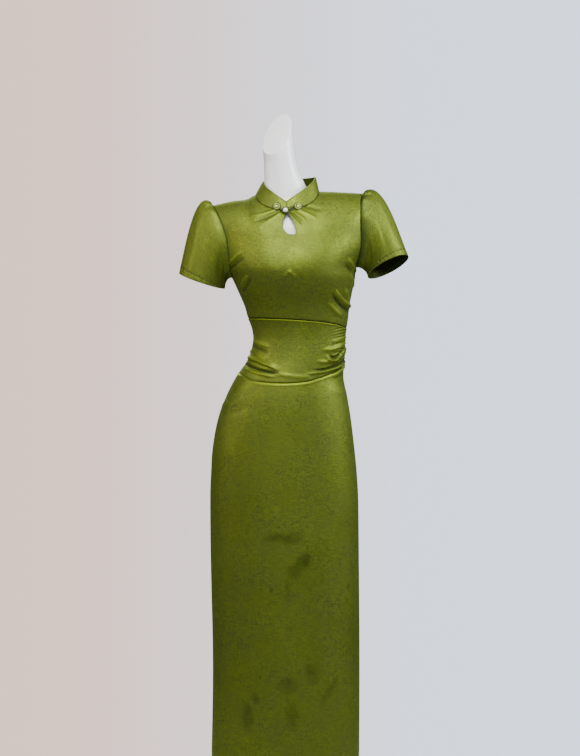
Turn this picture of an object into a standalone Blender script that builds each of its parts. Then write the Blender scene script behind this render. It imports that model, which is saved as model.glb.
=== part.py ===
# Cheongsam dress on a limbless dress form, in metres with +Z up and the front facing -Y.
# "right" and "left" in names are the wearer's, so the right sleeve is on the -X side.

import math

import bmesh
import bpy
from mathutils import Matrix, Vector

# Driving sizes
CLOTH = 0.0018
COLLAR_CLOTH = 0.0022
SEAM_GAP = 0.0003
HALF_GAP = SEAM_GAP / 2
SIDE_RADIUS = 0.075
BACK_RADIUS = 0.105
HEM_HEIGHT = 0.055

# Body sections of the cloth's outer face: side outlines in x, depths from the side seams' plane
SECTION_COLUMNS = ("height", "right_side", "left_side", "front", "back")
SECTIONS = (
    (0.055, -0.1780, 0.1770, 0.116, 0.118),
    (0.300, -0.1745, 0.1780, 0.113, 0.118),
    (0.550, -0.1795, 0.1765, 0.110, 0.119),
    (0.700, -0.1810, 0.1748, 0.107, 0.122),
    (0.762, -0.1788, 0.1712, 0.106, 0.124),
    (0.820, -0.1750, 0.1655, 0.105, 0.123),
    (0.890, -0.1620, 0.1570, 0.103, 0.117),
    (0.942, -0.1430, 0.1485, 0.099, 0.106),
    (0.990, -0.1188, 0.1392, 0.092, 0.093),
    (1.033, -0.0900, 0.1425, 0.085, 0.082),
    (1.076, -0.0780, 0.1440, 0.081, 0.076),
    (1.105, -0.0806, 0.1466, 0.082, 0.076),
    (1.130, -0.0896, 0.1505, 0.086, 0.078),
    (1.160, -0.0984, 0.1536, 0.092, 0.083),
    (1.196, -0.1140, 0.1608, 0.102, 0.089),
    (1.227, -0.1285, 0.1670, 0.108, 0.094),
    (1.252, -0.1430, 0.1706, 0.110, 0.097),
    (1.300, -0.1650, 0.1990, 0.106, 0.100),
    (1.350, -0.1800, 0.2110, 0.098, 0.098),
    (1.400, -0.1940, 0.2130, 0.088, 0.090),
    (1.450, -0.2000, 0.2140, 0.080, 0.084),
)

# Shoulder seam seen from the front
RIDGE_COLUMNS = ("x", "height")
RIDGE = (
    (-0.2050, 1.394),
    (-0.1740, 1.402),
    (-0.1270, 1.412),
    (-0.0950, 1.416),
    (-0.0735, 1.426),
    (0.0000, 1.436),
    (0.0815, 1.435),
    (0.1150, 1.434),
    (0.1836, 1.430),
    (0.2200, 1.426),
)
RIDGE_CENTRE = 0.008
RIDGE_HALF = 0.206
ROUND_AT_TIP = 0.045
ROUND_AT_NECK = 0.110

# Armhole seams seen from the front, from underarm to shoulder tip
ARMHOLE_COLUMNS = ("height", "x")
ARMHOLES = {
    "right": (
        (1.227, -0.1285),
        (1.245, -0.1310),
        (1.280, -0.1346),
        (1.323, -0.1404),
        (1.371, -0.1570),
        (1.402, -0.1740),
    ),
    "left": (
        (1.252, 0.1706),
        (1.270, 0.1730),
        (1.307, 0.1795),
        (1.350, 0.1790),
        (1.410, 0.1790),
        (1.430, 0.1836),
    ),
}

# Waistband seams seen from the front
SEAM_COLUMNS = ("x", "height")
BAND_TOP = (
    (-0.0900, 1.1290),
    (-0.0660, 1.1288),
    (0.0180, 1.1252),
    (0.0920, 1.1192),
    (0.1300, 1.1120),
    (0.1480, 1.1050),
)
BAND_BOTTOM = (
    (-0.1130, 1.0000),
    (-0.0840, 0.9848),
    (-0.0624, 0.9776),
    (-0.0036, 0.9738),
    (0.0492, 0.9776),
    (0.0804, 0.9862),
    (0.1140, 0.9992),
    (0.1404, 1.0136),
)

# Bust of a general figure: two soft rises of the front
BUST_COLUMNS = ("x", "height", "rise")
BUST = (
    (-0.052, 1.240, 0.0200),
    (0.092, 1.252, 0.0200),
)
BUST_SPREAD_X = 0.055
BUST_SPREAD_Z = 0.048

ROUND_PIECES = ("front", "back_left", "back_right")

# Largest folds as seen from the front or the back, each along a curve through three points
FOLD_COLUMNS = ("side", "x0", "z0", "x1", "z1", "x2", "z2", "half_width", "rise")
FOLDS = (
    ("front", -0.090, 1.029, -0.061, 1.012, -0.020, 0.999, 0.0060, -0.0034),
    ("front", -0.083, 1.044, -0.066, 1.032, -0.042, 1.026, 0.0060, 0.0028),
    ("front", 0.104, 1.034, 0.124, 1.016, 0.141, 1.049, 0.0055, 0.0036),
    ("front", 0.098, 1.006, 0.121, 1.006, 0.141, 1.022, 0.0055, 0.0030),
    ("front", 0.113, 1.019, 0.127, 1.012, 0.140, 1.032, 0.0050, -0.0022),
    ("front", 0.121, 1.198, 0.132, 1.172, 0.152, 1.162, 0.0060, 0.0036),
    ("front", 0.113, 1.190, 0.126, 1.164, 0.147, 1.152, 0.0070, -0.0026),
    ("front", 0.145, 1.200, 0.147, 1.184, 0.150, 1.168, 0.0050, 0.0020),
    ("back", 0.100, 1.036, 0.122, 1.022, 0.139, 1.050, 0.0060, 0.0032),
    ("back", 0.092, 1.010, 0.118, 1.008, 0.139, 1.024, 0.0060, 0.0028),
    ("back", -0.086, 1.034, -0.058, 1.016, -0.026, 1.008, 0.0060, -0.0028),
    ("back", 0.110, 1.186, 0.128, 1.168, 0.150, 1.160, 0.0065, 0.0026),
)
FOLD_STEPS = 10
SIDE_FADE = 0.28

# Stand collar: neckline and top edge in plan, heights of the top edge
NECK_X = 0.004
NECK_HALF = 0.0775
NECK_FRONT = 0.0746
NECK_FRONT_POWER = 0.6
NECK_BACK = 0.052
TOP_X = 0.009
TOP_HALF = 0.064
TOP_FRONT = 0.0660
TOP_LEAN = 0.0078
TOP_BACK = 0.047
TOP_RIGHT_HEIGHT = 1.459
TOP_LEFT_HEIGHT = 1.470
TOP_DIP_HEIGHT = 1.4096
TOP_DIP_POWER = 1.28

# Keyhole: a teardrop seen from the front, open to the neckline by a slit
KEYHOLE_COLUMNS = ("x", "height")
KEYHOLE = (
    (0.0036, 1.3837),
    (-0.0038, 1.3712),
    (-0.0072, 1.3578),
    (-0.0050, 1.3420),
    (0.0040, 1.3310),
    (0.0150, 1.3286),
    (0.0240, 1.3300),
    (0.0257, 1.3400),
    (0.0190, 1.3600),
    (0.0110, 1.3740),
    (0.0044, 1.3837),
)
SLIT_TOP = 1.400

# Sleeves: the hem ring, and how the cloth leaves the armhole and reaches the hem
SLEEVES = {
    "right": {
        "hem_centre": Vector((-0.2004, 0.0, 1.2204)),
        "hem_out": Vector((-0.0552, 0.0, 0.0182)),
        "hem_deep": Vector((0.0, 0.0520, 0.0070)),
        "leave_top": Vector((-0.125, 0.0, 0.175)),
        "leave_side": Vector((-0.085, 0.030, 0.020)),
        "leave_under": Vector((-0.034, 0.0, 0.004)),
        "reach_top": Vector((-0.045, 0.0, -0.200)),
        "reach_under": Vector((-0.004, 0.0, -0.036)),
    },
    "left": {
        "hem_centre": Vector((0.2465, 0.0, 1.2540)),
        "hem_out": Vector((0.0492, 0.0, 0.0232)),
        "hem_deep": Vector((0.0, 0.0520, -0.0160)),
        "leave_top": Vector((0.150, 0.0, 0.150)),
        "leave_side": Vector((0.095, 0.030, 0.020)),
        "leave_under": Vector((0.034, 0.0, 0.004)),
        "reach_top": Vector((0.070, 0.0, -0.160)),
        "reach_under": Vector((0.006, 0.0, -0.036)),
    },
}
CAP_PLEAT_COLUMNS = ("turn", "half_width", "rise")
CAP_PLEATS = (
    (-0.085, 0.020, 0.0032),
    (-0.040, 0.018, -0.0024),
    (0.040, 0.018, 0.0030),
    (0.085, 0.020, -0.0022),
)
CAP_PLEAT_REACH = 0.40

# Grid counts
SHOULDER_CELLS = 5
NECK_FRONT_CELLS = 14
NECK_BACK_CELLS = 5
ROWS_BELOW_ARM = 7
ROWS_ARMHOLE = 12
ROUND_CELLS = 32
ROUND_BACK_CELLS = 12
BAND_ROWS = 12
SKIRT_ROWS = 12
COLLAR_ROWS = 3
EVEN_STEPS = 36
SLEEVE_STATIONS = (0.0, 0.04, 0.10, 0.18, 0.30, 0.46, 0.64, 0.82, 1.0)

# Frog closure
ROSETTE_RADIUS = 0.0098
ROSETTE_HEIGHT = 0.0052
ROSETTE_RIGHT = (-0.0214, 1.3962)
ROSETTE_LEFT = (0.0303, 1.3962)
ROSETTE_LIFT = {"right": 0.0008, "left": 0.0014}
CORD_LIFT = 0.0043
BEAD_CENTRE = Vector((-0.0003, -0.0866, 1.3874))
BEAD_RADIUS = 0.0057
CORD_RADIUS = 0.0011
LOOP_HALF = 0.0024
LOOP_STEPS = 8
LOOP_OPENING = math.radians(50)
BEAD_BACK = 0.0015

# Zip at the centre back
SLIDER_HEIGHT = 1.4500
SLIDER_WIDTH = 0.0070
SLIDER_LENGTH = 0.0090
SLIDER_DEPTH = 0.0026
SLIDER_STAND = 0.0009
CHEEK_ROOT = 0.0010
PIN_RADIUS = 0.0006
BORE_RADIUS = 0.0010
BARREL_RADIUS = 0.0018
CHEEK_WIDTH = 0.0010
TAB_WIDTH = 0.0036
TAB_LENGTH = 0.0150
TAB_DEPTH = 0.0010

# Dress form: shoulders and neck as rings that lean with the shoulders
FORM_COLUMNS = ("height", "right_side", "left_side", "front", "back", "lean")
FORM_TOP = (
    (1.310, -0.1330, 0.1600, 0.092, 0.090, 0.06),
    (1.350, -0.1400, 0.1600, 0.082, 0.083, 0.09),
    (1.380, -0.1400, 0.1520, 0.067, 0.069, 0.11),
    (1.402, -0.1180, 0.1320, 0.050, 0.050, 0.12),
    (1.414, -0.0880, 0.0980, 0.043, 0.042, 0.10),
    (1.422, -0.0660, 0.0700, 0.041, 0.039, 0.06),
    (1.434, -0.0560, 0.0580, 0.040, 0.039, 0.03),
    (1.452, -0.0515, 0.0470, 0.039, 0.040, 0.0),
    (1.475, -0.0510, 0.0360, 0.038, 0.039, 0.0),
    (1.505, -0.0516, 0.0270, 0.038, 0.039, 0.0),
)

# How far the form lies inside the cloth's outer face: closest where the bust carries the cloth
EASE_COLUMNS = ("height", "ease")
FORM_EASE = (
    (0.760, 0.0065),
    (1.190, 0.0065),
    (1.225, 0.0031),
    (1.252, 0.0031),
    (1.275, 0.0065),
)

# Above the underarms the form's sides stay inside the armholes
SQUEEZE_COLUMNS = ("height", "right_share", "left_share")
FORM_SQUEEZE = (
    (1.222, 1.00, 1.00),
    (1.250, 0.88, 0.92),
    (1.300, 0.80, 0.79),
)
NECK_TOP = (-0.0550, 0.0150, 0.0385, 0.0395)
CUT_HEIGHT = 1.572
CUT_CENTRE_X = -0.020
CUT_SLOPE_X = 0.734
CUT_SLOPE_Y = 1.11
NECK_STEPS = 3
FORM_BOTTOM = 0.760
FORM_SHOULDER = 1.285
FORM_CELLS = 28
FORM_ROWS = 14
BOTTOM_ROUND = (0.55, 0.84, 0.96)
BOTTOM_DROP = 0.050
POLE_RADIUS = 0.0160
BASE_RADIUS = 0.1550
BASE_HEIGHT = 0.0120
BASE_EDGE = 0.0030
ROUND_SIDES = 32

COLOURS = {
    "satin": ((0.145, 0.165, 0.022, 1.0), 0.42, 0.0),
    "cord": ((0.020, 0.026, 0.006, 1.0), 0.55, 0.0),
    "pearl": ((0.86, 0.84, 0.78, 1.0), 0.18, 0.0),
    "metal": ((0.55, 0.55, 0.50, 1.0), 0.30, 1.0),
    "form": ((0.82, 0.82, 0.84, 1.0), 0.38, 0.0),
    "stand": ((0.80, 0.80, 0.82, 1.0), 0.35, 0.0),
}


def mix(a, b, share):
    return a + (b - a) * share


def ease(value):
    value = max(0.0, min(1.0, value))
    return value * value * (3.0 - 2.0 * value)


# Smooth curve through a table's rows, read at a value of its first column
def read_table(rows, at, column):
    if at <= rows[0][0]:
        return rows[0][column]
    if at >= rows[-1][0]:
        return rows[-1][column]
    index = 0
    while rows[index + 1][0] < at:
        index += 1
    low = rows[index]
    high = rows[index + 1]
    span = high[0] - low[0]
    share = (at - low[0]) / span
    slope = (high[column] - low[column]) / span
    before = rows[max(index - 1, 0)]
    after = rows[min(index + 2, len(rows) - 1)]
    slope_low = (high[column] - before[column]) / (high[0] - before[0])
    slope_high = (after[column] - low[column]) / (after[0] - low[0])
    if slope == 0.0:
        slope_low = 0.0
        slope_high = 0.0
    square = share * share
    cube = square * share
    value = (2 * cube - 3 * square + 1) * low[column]
    value += (cube - 2 * square + share) * span * slope_low
    value += (3 * square - 2 * cube) * high[column]
    value += (cube - square) * span * slope_high
    return value


def side_lines(height):
    return read_table(SECTIONS, height, 1), read_table(SECTIONS, height, 2)


def round_size(turn):
    return mix(ROUND_AT_TIP, ROUND_AT_NECK, math.sin(turn) ** 2)


def ridge_height(turn):
    return read_table(RIDGE, RIDGE_CENTRE + RIDGE_HALF * math.cos(turn), 1)


# Tape height runs up the cloth: it equals z until the shoulder starts to round over
def split_tape(turn, tape):
    size = round_size(turn)
    start = ridge_height(turn) - size
    if tape <= start:
        return tape, 1.0
    bend = min((tape - start) / size, math.pi / 2)
    return start + size * math.sin(bend), math.cos(bend)


def ridge_tape(turn):
    size = round_size(turn)
    return ridge_height(turn) - size + size * math.pi / 2


def fold_rise(side, x, z):
    total = 0.0
    for kind, x0, z0, x1, z1, x2, z2, half_width, rise in FOLDS:
        if kind != side:
            continue
        reach = 3.0 * half_width
        if not (min(x0, x1, x2) - reach < x < max(x0, x1, x2) + reach):
            continue
        if not (min(z0, z1, z2) - reach < z < max(z0, z1, z2) + reach):
            continue
        nearest = 1.0
        place = 0.0
        for step in range(FOLD_STEPS + 1):
            share = step / FOLD_STEPS
            px = (1 - share) ** 2 * x0 + 2 * share * (1 - share) * x1 + share ** 2 * x2
            pz = (1 - share) ** 2 * z0 + 2 * share * (1 - share) * z1 + share ** 2 * z2
            distance = math.hypot(x - px, z - pz)
            if distance < nearest:
                nearest = distance
                place = share
        fade = ease(min(place, 1.0) / 0.3)
        total += rise * fade * math.exp(-(nearest / half_width) ** 2)
    return total


def bust_rise(x, z):
    total = 0.0
    for centre_x, height, rise in BUST:
        across = (x - centre_x) / BUST_SPREAD_X
        up = (z - height) / BUST_SPREAD_Z
        total += rise * math.exp(-0.5 * (across * across + up * up))
    return total


# The cloth's smooth outer face: turn 0 is the wearer's left side, -90 degrees the front
def smooth_point(turn, tape):
    z, level = split_tape(turn, tape)
    right, left = side_lines(z)
    x = (right + left) / 2 + (left - right) / 2 * math.cos(turn)
    swing = math.sin(turn)
    if swing < 0:
        y = read_table(SECTIONS, z, 3) * swing * level
        y -= bust_rise(x, z) * min(1.0, -2.0 * swing) * level
    else:
        y = read_table(SECTIONS, z, 4) * swing * level
    return Vector((x, y, z))


def smooth_normal(turn, tape):
    step = 0.002
    across = smooth_point(turn + step, tape) - smooth_point(turn - step, tape)
    up = smooth_point(turn, tape) - smooth_point(turn, tape - step)
    return across.cross(up).normalized()


def body_point(turn, tape):
    point = smooth_point(turn, tape)
    side = "back" if math.sin(turn) > 0 else "front"
    rise = fold_rise(side, point.x, point.z) * ease(abs(math.sin(turn)) / SIDE_FADE)
    if rise == 0.0:
        return point
    return point + smooth_normal(turn, tape) * rise


# Turn of the point that has this x at this tape height, on the front or the back
def turn_at(x, tape, back):
    turn = math.pi / 2 if back else -math.pi / 2
    for _ in range(12):
        z = split_tape(turn, tape)[0]
        right, left = side_lines(z)
        cosine = (x - (right + left) / 2) / ((left - right) / 2)
        found = math.acos(max(-1.0, min(1.0, cosine)))
        turn = found if back else -found
    return turn


def armhole_edge(side, back):
    rows = ARMHOLES[side]
    end_turn = turn_at(rows[-1][1], 1.5, back)
    start = rows[0][0]
    end = ridge_tape(end_turn)
    edge = []
    for row in range(ROWS_ARMHOLE + 1):
        tape = mix(start, end, row / ROWS_ARMHOLE)
        if row == 0:
            turn = math.pi if side == "right" else 0.0
            edge.append((turn if back else -turn, tape))
            continue
        turn = end_turn
        for _ in range(8):
            z = split_tape(turn, tape)[0]
            turn = turn_at(read_table(rows, z, 1), tape, back)
        edge.append((turn, min(tape, ridge_tape(turn))))
    return edge


# Neckline: a rounded oblong in plan laid on the shoulders, from the right side to the left
def neck_edge(back, cells, start, end):
    depth = NECK_BACK if back else NECK_FRONT
    edge = []
    for cell in range(cells + 1):
        angle = mix(start, end, cell / cells)
        x = NECK_X + NECK_HALF * math.cos(angle)
        power = 1.0 if back else NECK_FRONT_POWER
        y = depth * abs(math.sin(angle)) ** power
        turn = turn_at(x, 1.42, back)
        tape = ridge_tape(turn)
        for _ in range(12):
            z = split_tape(turn, tape)[0]
            full = read_table(SECTIONS, z, 4 if back else 3) * abs(math.sin(turn))
            level = min(1.0, y / full)
            size = round_size(turn)
            tape = ridge_height(turn) - size + size * math.acos(level)
            turn = turn_at(x, tape, back)
        edge.append((turn, min(tape, ridge_tape(turn) - HALF_GAP)))
    return edge


def shoulder_edge(start, end, cells):
    edge = []
    for cell in range(cells + 1):
        turn = mix(start[0], end[0], cell / cells)
        edge.append((turn, ridge_tape(turn) - HALF_GAP))
    return edge


# Tape height of a waistband seam: the back joins the two ends of the front line evenly
def band_seam(rows, turn):
    if math.sin(turn) <= 0:
        tape = 1.05
        for _ in range(8):
            tape = read_table(rows, smooth_point(turn, tape).x, 1)
        return tape
    share = (1 + math.cos(turn)) / 2
    return mix(rows[0][1], rows[-1][1], share)


# A patch between four edges given in turn and tape height
def patch(bottom, top, first, last):
    cells = len(bottom) - 1
    rows = len(first) - 1
    grid = []
    for j in range(rows + 1):
        v = j / rows
        line = []
        for i in range(cells + 1):
            u = i / cells
            spot = []
            for axis in (0, 1):
                value = mix(first[j][axis], last[j][axis], u)
                value += mix(bottom[i][axis], top[i][axis], v)
                low = mix(first[0][axis], last[0][axis], u)
                high = mix(first[-1][axis], last[-1][axis], u)
                value -= mix(low, high, v)
                spot.append(value)
            line.append(tuple(spot))
        grid.append(line)
    return grid


# Spreads the inner spots of a patch evenly, so that no cell folds over beside the neck
def even_out(grid):
    for _ in range(EVEN_STEPS):
        spread = [list(line) for line in grid]
        for j in range(1, len(grid) - 1):
            for i in range(1, len(grid[0]) - 1):
                around = (grid[j - 1][i], grid[j + 1][i], grid[j][i - 1], grid[j][i + 1])
                spread[j][i] = tuple(sum(spot[axis] for spot in around) / 4 for axis in (0, 1))
        grid = spread
    return grid


def body_grid(spots):
    outer = [[body_point(*spot) for spot in line] for line in spots]
    normals = [[smooth_normal(*spot) for spot in line] for line in spots]
    return outer, normals


def material(name):
    made = bpy.data.materials.get(name)
    if made:
        return made
    colour, roughness, metallic = COLOURS[name]
    made = bpy.data.materials.new(name)
    made.use_nodes = True
    shader = made.node_tree.nodes["Principled BSDF"]
    shader.inputs["Base Color"].default_value = colour
    shader.inputs["Roughness"].default_value = roughness
    shader.inputs["Metallic"].default_value = metallic
    made.diffuse_color = colour
    return made


def add_object(name, mesh, slot, collection):
    mesh.shade_smooth()
    mesh.set_sharp_from_angle(angle=math.radians(50))
    mesh.materials.append(material(slot))
    made = bpy.data.objects.new(name, mesh)
    collection.objects.link(made)
    return made


# A cloth wall: a grid laid on the outer points, with its second face a wall's depth inside
def cloth(name, outer, normals, depth, collection, slot="satin", closed=False):
    rows = len(outer) - 1
    cells = len(outer[0]) - 1
    bm = bmesh.new()
    bmesh.ops.create_grid(bm, x_segments=cells, y_segments=rows, size=0.5)
    cell_layer = bm.verts.layers.int.new("cell")
    row_layer = bm.verts.layers.int.new("row")
    for vert in bm.verts:
        vert[cell_layer] = round((vert.co.x + 0.5) * cells)
        vert[row_layer] = round((vert.co.y + 0.5) * rows)
        vert.co = outer[vert[row_layer]][vert[cell_layer]]
    if closed:
        bmesh.ops.remove_doubles(bm, verts=bm.verts[:], dist=0.00001)
    inner = bmesh.ops.extrude_face_region(bm, geom=bm.faces[:], use_keep_orig=True)
    for vert in inner["geom"]:
        if isinstance(vert, bmesh.types.BMVert):
            normal = normals[vert[row_layer]][vert[cell_layer]]
            vert.co = outer[vert[row_layer]][vert[cell_layer]] - normal * depth
    bmesh.ops.recalc_face_normals(bm, faces=bm.faces[:])
    mesh = bpy.data.meshes.new(name)
    bm.to_mesh(mesh)
    bm.free()
    return add_object(name, mesh, slot, collection)


def even_edge(rows, turns, shift):
    return [(turn, band_seam(rows, turn) + shift) for turn in turns]


def side_edge(turn, low, high, rows):
    return [(turn, mix(low, high, row / rows)) for row in range(rows + 1)]


# Side seam up to the underarm and then the armhole, from bottom to top
def bodice_side(side, back):
    rows = ARMHOLES[side]
    turn = math.pi if side == "right" else 0.0
    inset = HALF_GAP / SIDE_RADIUS
    if side == "right":
        seam_turn = turn - inset if back else -(turn - inset)
    else:
        seam_turn = inset if back else -inset
    low = band_seam(BAND_TOP, turn) + HALF_GAP
    edge = side_edge(seam_turn, low, rows[0][0], ROWS_BELOW_ARM)[:-1]
    arm = armhole_edge(side, back)
    arm[0] = (seam_turn, arm[0][1])
    arm[-1] = (arm[-1][0], arm[-1][1] - HALF_GAP)
    return edge + arm


def bodice_front(collection):
    first = bodice_side("right", False)
    last = bodice_side("left", False)
    neck = neck_edge(False, NECK_FRONT_CELLS, math.pi, 2 * math.pi)
    top = shoulder_edge(first[-1], neck[0], SHOULDER_CELLS)[:-1]
    top += neck
    top += shoulder_edge(neck[-1], last[-1], SHOULDER_CELLS)[1:]
    cells = len(top) - 1
    turns = [mix(first[0][0], last[0][0], i / cells) for i in range(cells + 1)]
    bottom = even_edge(BAND_TOP, turns, HALF_GAP)
    top[0] = first[-1]
    top[-1] = last[-1]
    outer, normals = body_grid(even_out(patch(bottom, top, first, last)))
    return cloth("bodice_front", outer, normals, CLOTH, collection)


def bodice_back(side, collection):
    armside = bodice_side(side, True)
    if side == "left":
        neck = neck_edge(True, NECK_BACK_CELLS, 0.0, math.pi / 2)
        middle_turn = math.pi / 2 - HALF_GAP / BACK_RADIUS
    else:
        neck = neck_edge(True, NECK_BACK_CELLS, math.pi / 2, math.pi)
        middle_turn = math.pi / 2 + HALF_GAP / BACK_RADIUS
    rows = len(armside) - 1
    low = band_seam(BAND_TOP, middle_turn) + HALF_GAP
    if side == "left":
        neck[-1] = (middle_turn, neck[-1][1])
        top = shoulder_edge(armside[-1], neck[0], SHOULDER_CELLS)[:-1] + neck
        top[0] = armside[-1]
        middle = side_edge(middle_turn, low, neck[-1][1], rows)
        first, last = armside, middle
    else:
        neck[0] = (middle_turn, neck[0][1])
        top = neck + shoulder_edge(neck[-1], armside[-1], SHOULDER_CELLS)[1:]
        top[-1] = armside[-1]
        middle = side_edge(middle_turn, low, neck[0][1], rows)
        first, last = middle, armside
    cells = len(top) - 1
    turns = [mix(first[0][0], last[0][0], i / cells) for i in range(cells + 1)]
    bottom = even_edge(BAND_TOP, turns, HALF_GAP)
    outer, normals = body_grid(even_out(patch(bottom, top, first, last)))
    return cloth("bodice_back_" + side, outer, normals, CLOTH, collection)


# A panel between two seams that run round the body, for the waistband and the skirt
def round_panel(name, piece, low_edge, high_edge, rows, collection):
    start, end = panel_ends(piece)
    cells = ROUND_CELLS if piece == "front" else ROUND_BACK_CELLS
    outer = []
    normals = []
    for j in range(rows + 1):
        line = []
        facing = []
        for i in range(cells + 1):
            turn = mix(start, end, i / cells)
            tape = mix(low_edge(turn), high_edge(turn), j / rows)
            line.append(body_point(turn, tape))
            facing.append(smooth_normal(turn, tape))
        outer.append(line)
        normals.append(facing)
    return cloth(name + piece, outer, normals, CLOTH, collection)


def panel_ends(piece):
    side = HALF_GAP / SIDE_RADIUS
    back = HALF_GAP / BACK_RADIUS
    ends = {
        "front": (-math.pi + side, -side),
        "back_left": (side, math.pi / 2 - back),
        "back_right": (math.pi / 2 + back, math.pi - side),
    }
    return ends[piece]


def waistband(collection):
    for piece in ROUND_PIECES:
        round_panel(
            "waistband_", piece,
            lambda turn: band_seam(BAND_BOTTOM, turn) + HALF_GAP,
            lambda turn: band_seam(BAND_TOP, turn) - HALF_GAP,
            BAND_ROWS, collection)


def skirt(collection):
    for piece in ROUND_PIECES:
        round_panel(
            "skirt_", piece,
            lambda turn: HEM_HEIGHT,
            lambda turn: band_seam(BAND_BOTTOM, turn) - HALF_GAP,
            SKIRT_ROWS, collection)


# Seam ring on the bodice: points, outward normals and the way across the seam to the next piece
def seam_ring(spots, closed):
    points = [smooth_point(*spot) for spot in spots]
    normals = [smooth_normal(*spot) for spot in spots]
    centre = sum(points, Vector()) / len(points)
    across = []
    inward = 0.0
    count = len(points)
    for k in range(count):
        if closed:
            along = points[(k + 1) % count] - points[(k - 1) % count]
        else:
            along = points[min(k + 1, count - 1)] - points[max(k - 1, 0)]
        way = along.cross(normals[k]).normalized()
        inward += way.dot(centre - points[k])
        across.append(way)
    if inward < 0:
        across = [-way for way in across]
    return points, normals, across


def grid_normals(outer, closed):
    rows = len(outer)
    cells = len(outer[0])
    normals = []
    for j in range(rows):
        line = []
        for i in range(cells):
            if closed:
                left = outer[j][(i - 1) % (cells - 1)]
                right = outer[j][(i + 1) % (cells - 1)]
            else:
                left = outer[j][max(i - 1, 0)]
                right = outer[j][min(i + 1, cells - 1)]
            along = right - left
            up = outer[min(j + 1, rows - 1)][i] - outer[max(j - 1, 0)][i]
            line.append(along.cross(up).normalized())
        normals.append(line)
    return normals


def hermite(start, leave, end, reach, share):
    square = share * share
    cube = square * share
    point = start * (2 * cube - 3 * square + 1)
    point += leave * (cube - 2 * square + share)
    point += end * (3 * square - 2 * cube)
    point += reach * (cube - square)
    return point


def pleat_rise(turn_share, station):
    total = 0.0
    for turn, half_width, rise in CAP_PLEATS:
        total += rise * math.exp(-((turn_share - turn) / half_width) ** 2)
    return total * (1 - ease(station / CAP_PLEAT_REACH)) * ease(station / 0.06)


def sleeve(side, collection):
    shape = SLEEVES[side]
    front = armhole_edge(side, False)
    back = armhole_edge(side, True)
    spots = list(reversed(front)) + back[1:-1]
    points, body_normals, across = seam_ring(spots, True)
    count = len(points)
    outer = []
    for station in SLEEVE_STATIONS:
        line = []
        for k in range(count + 1):
            share = (k % count) / count
            angle = 2 * math.pi * share
            top = (1 + math.cos(angle)) / 2
            deep = -math.sin(angle)
            start = points[k % count] + across[k % count] * SEAM_GAP
            end = shape["hem_centre"] + shape["hem_out"] * math.cos(angle) + shape["hem_deep"] * deep
            leave = shape["leave_under"].lerp(shape["leave_top"], top ** 1.6)
            belly = shape["leave_side"].copy()
            belly.y *= deep
            leave = leave.lerp(belly, abs(deep) ** 2 * 0.8)
            reach = shape["reach_under"].lerp(shape["reach_top"], top)
            line.append(hermite(start, leave, end, reach, station))
        outer.append(line)
    normals = grid_normals(outer, True)
    middle = len(SLEEVE_STATIONS) // 2
    ring_centre = sum(outer[middle][:-1], Vector()) / count
    if normals[middle][0].dot(outer[middle][0] - ring_centre) < 0:
        normals = [[-normal for normal in line] for line in normals]
    for j, station in enumerate(SLEEVE_STATIONS):
        for k in range(count + 1):
            share = (k % count) / count
            signed = share if share <= 0.5 else share - 1.0
            outer[j][k] = outer[j][k] + normals[j][k] * pleat_rise(signed, station)
            if j == 0:
                normals[j][k] = body_normals[k % count]
            if j == 1:
                normals[j][k] = (body_normals[k % count] + normals[j][k]).normalized()
    return cloth("sleeve_" + side, outer, normals, CLOTH, collection, closed=True)


def collar_top(angle):
    depth = TOP_BACK if math.sin(angle) > 0 else TOP_FRONT
    x = TOP_X + TOP_HALF * math.cos(angle)
    if math.sin(angle) < 0:
        x -= TOP_LEAN * math.sin(angle) ** 2
    y = depth * math.sin(angle)
    side = mix(TOP_RIGHT_HEIGHT, TOP_LEFT_HEIGHT, (1 + math.cos(angle)) / 2)
    aside = abs(angle - 1.5 * math.pi) / (math.pi / 2)
    dip = max(0.0, 1.0 - aside) ** TOP_DIP_POWER
    return Vector((x, y, mix(side, TOP_DIP_HEIGHT, dip)))


# Half collar from centre front to centre back, on the neckline's own points
def collar(side, collection):
    front = neck_edge(False, NECK_FRONT_CELLS, math.pi, 2 * math.pi)
    half = NECK_FRONT_CELLS // 2
    if side == "left":
        spots = front[half:] + neck_edge(True, NECK_BACK_CELLS, 0.0, math.pi / 2)[1:]
        angles = [mix(1.5 * math.pi, 2 * math.pi, i / half) for i in range(half + 1)]
        angles += [mix(0.0, math.pi / 2, (i + 1) / NECK_BACK_CELLS) for i in range(NECK_BACK_CELLS)]
    else:
        back = neck_edge(True, NECK_BACK_CELLS, math.pi, math.pi / 2)
        spots = list(reversed(back))[:-1] + front[:half + 1]
        angles = [mix(math.pi / 2, math.pi, i / NECK_BACK_CELLS) for i in range(NECK_BACK_CELLS)]
        angles += [mix(math.pi, 1.5 * math.pi, i / half) for i in range(half + 1)]
    points, body_normals, across = seam_ring(spots, False)
    shift = HALF_GAP if side == "left" else -HALF_GAP
    outer = []
    for j in range(COLLAR_ROWS + 1):
        share = j / COLLAR_ROWS
        line = []
        for k, angle in enumerate(angles):
            start = points[k] + across[k] * SEAM_GAP
            point = start.lerp(collar_top(angle), share)
            if k in (0, len(angles) - 1):
                point.x = mix(NECK_X, collar_top(angle).x, share) + shift
            line.append(point)
        outer.append(line)
    normals = grid_normals(outer, False)
    for k in range(len(angles)):
        normals[0][k] = (body_normals[k] + normals[0][k] * 0.2).normalized()
    for line in normals:
        for k in (0, len(angles) - 1):
            line[k].x = 0.0
            line[k].normalize()
    return cloth("collar_" + side, outer, normals, COLLAR_CLOTH, collection)


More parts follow.
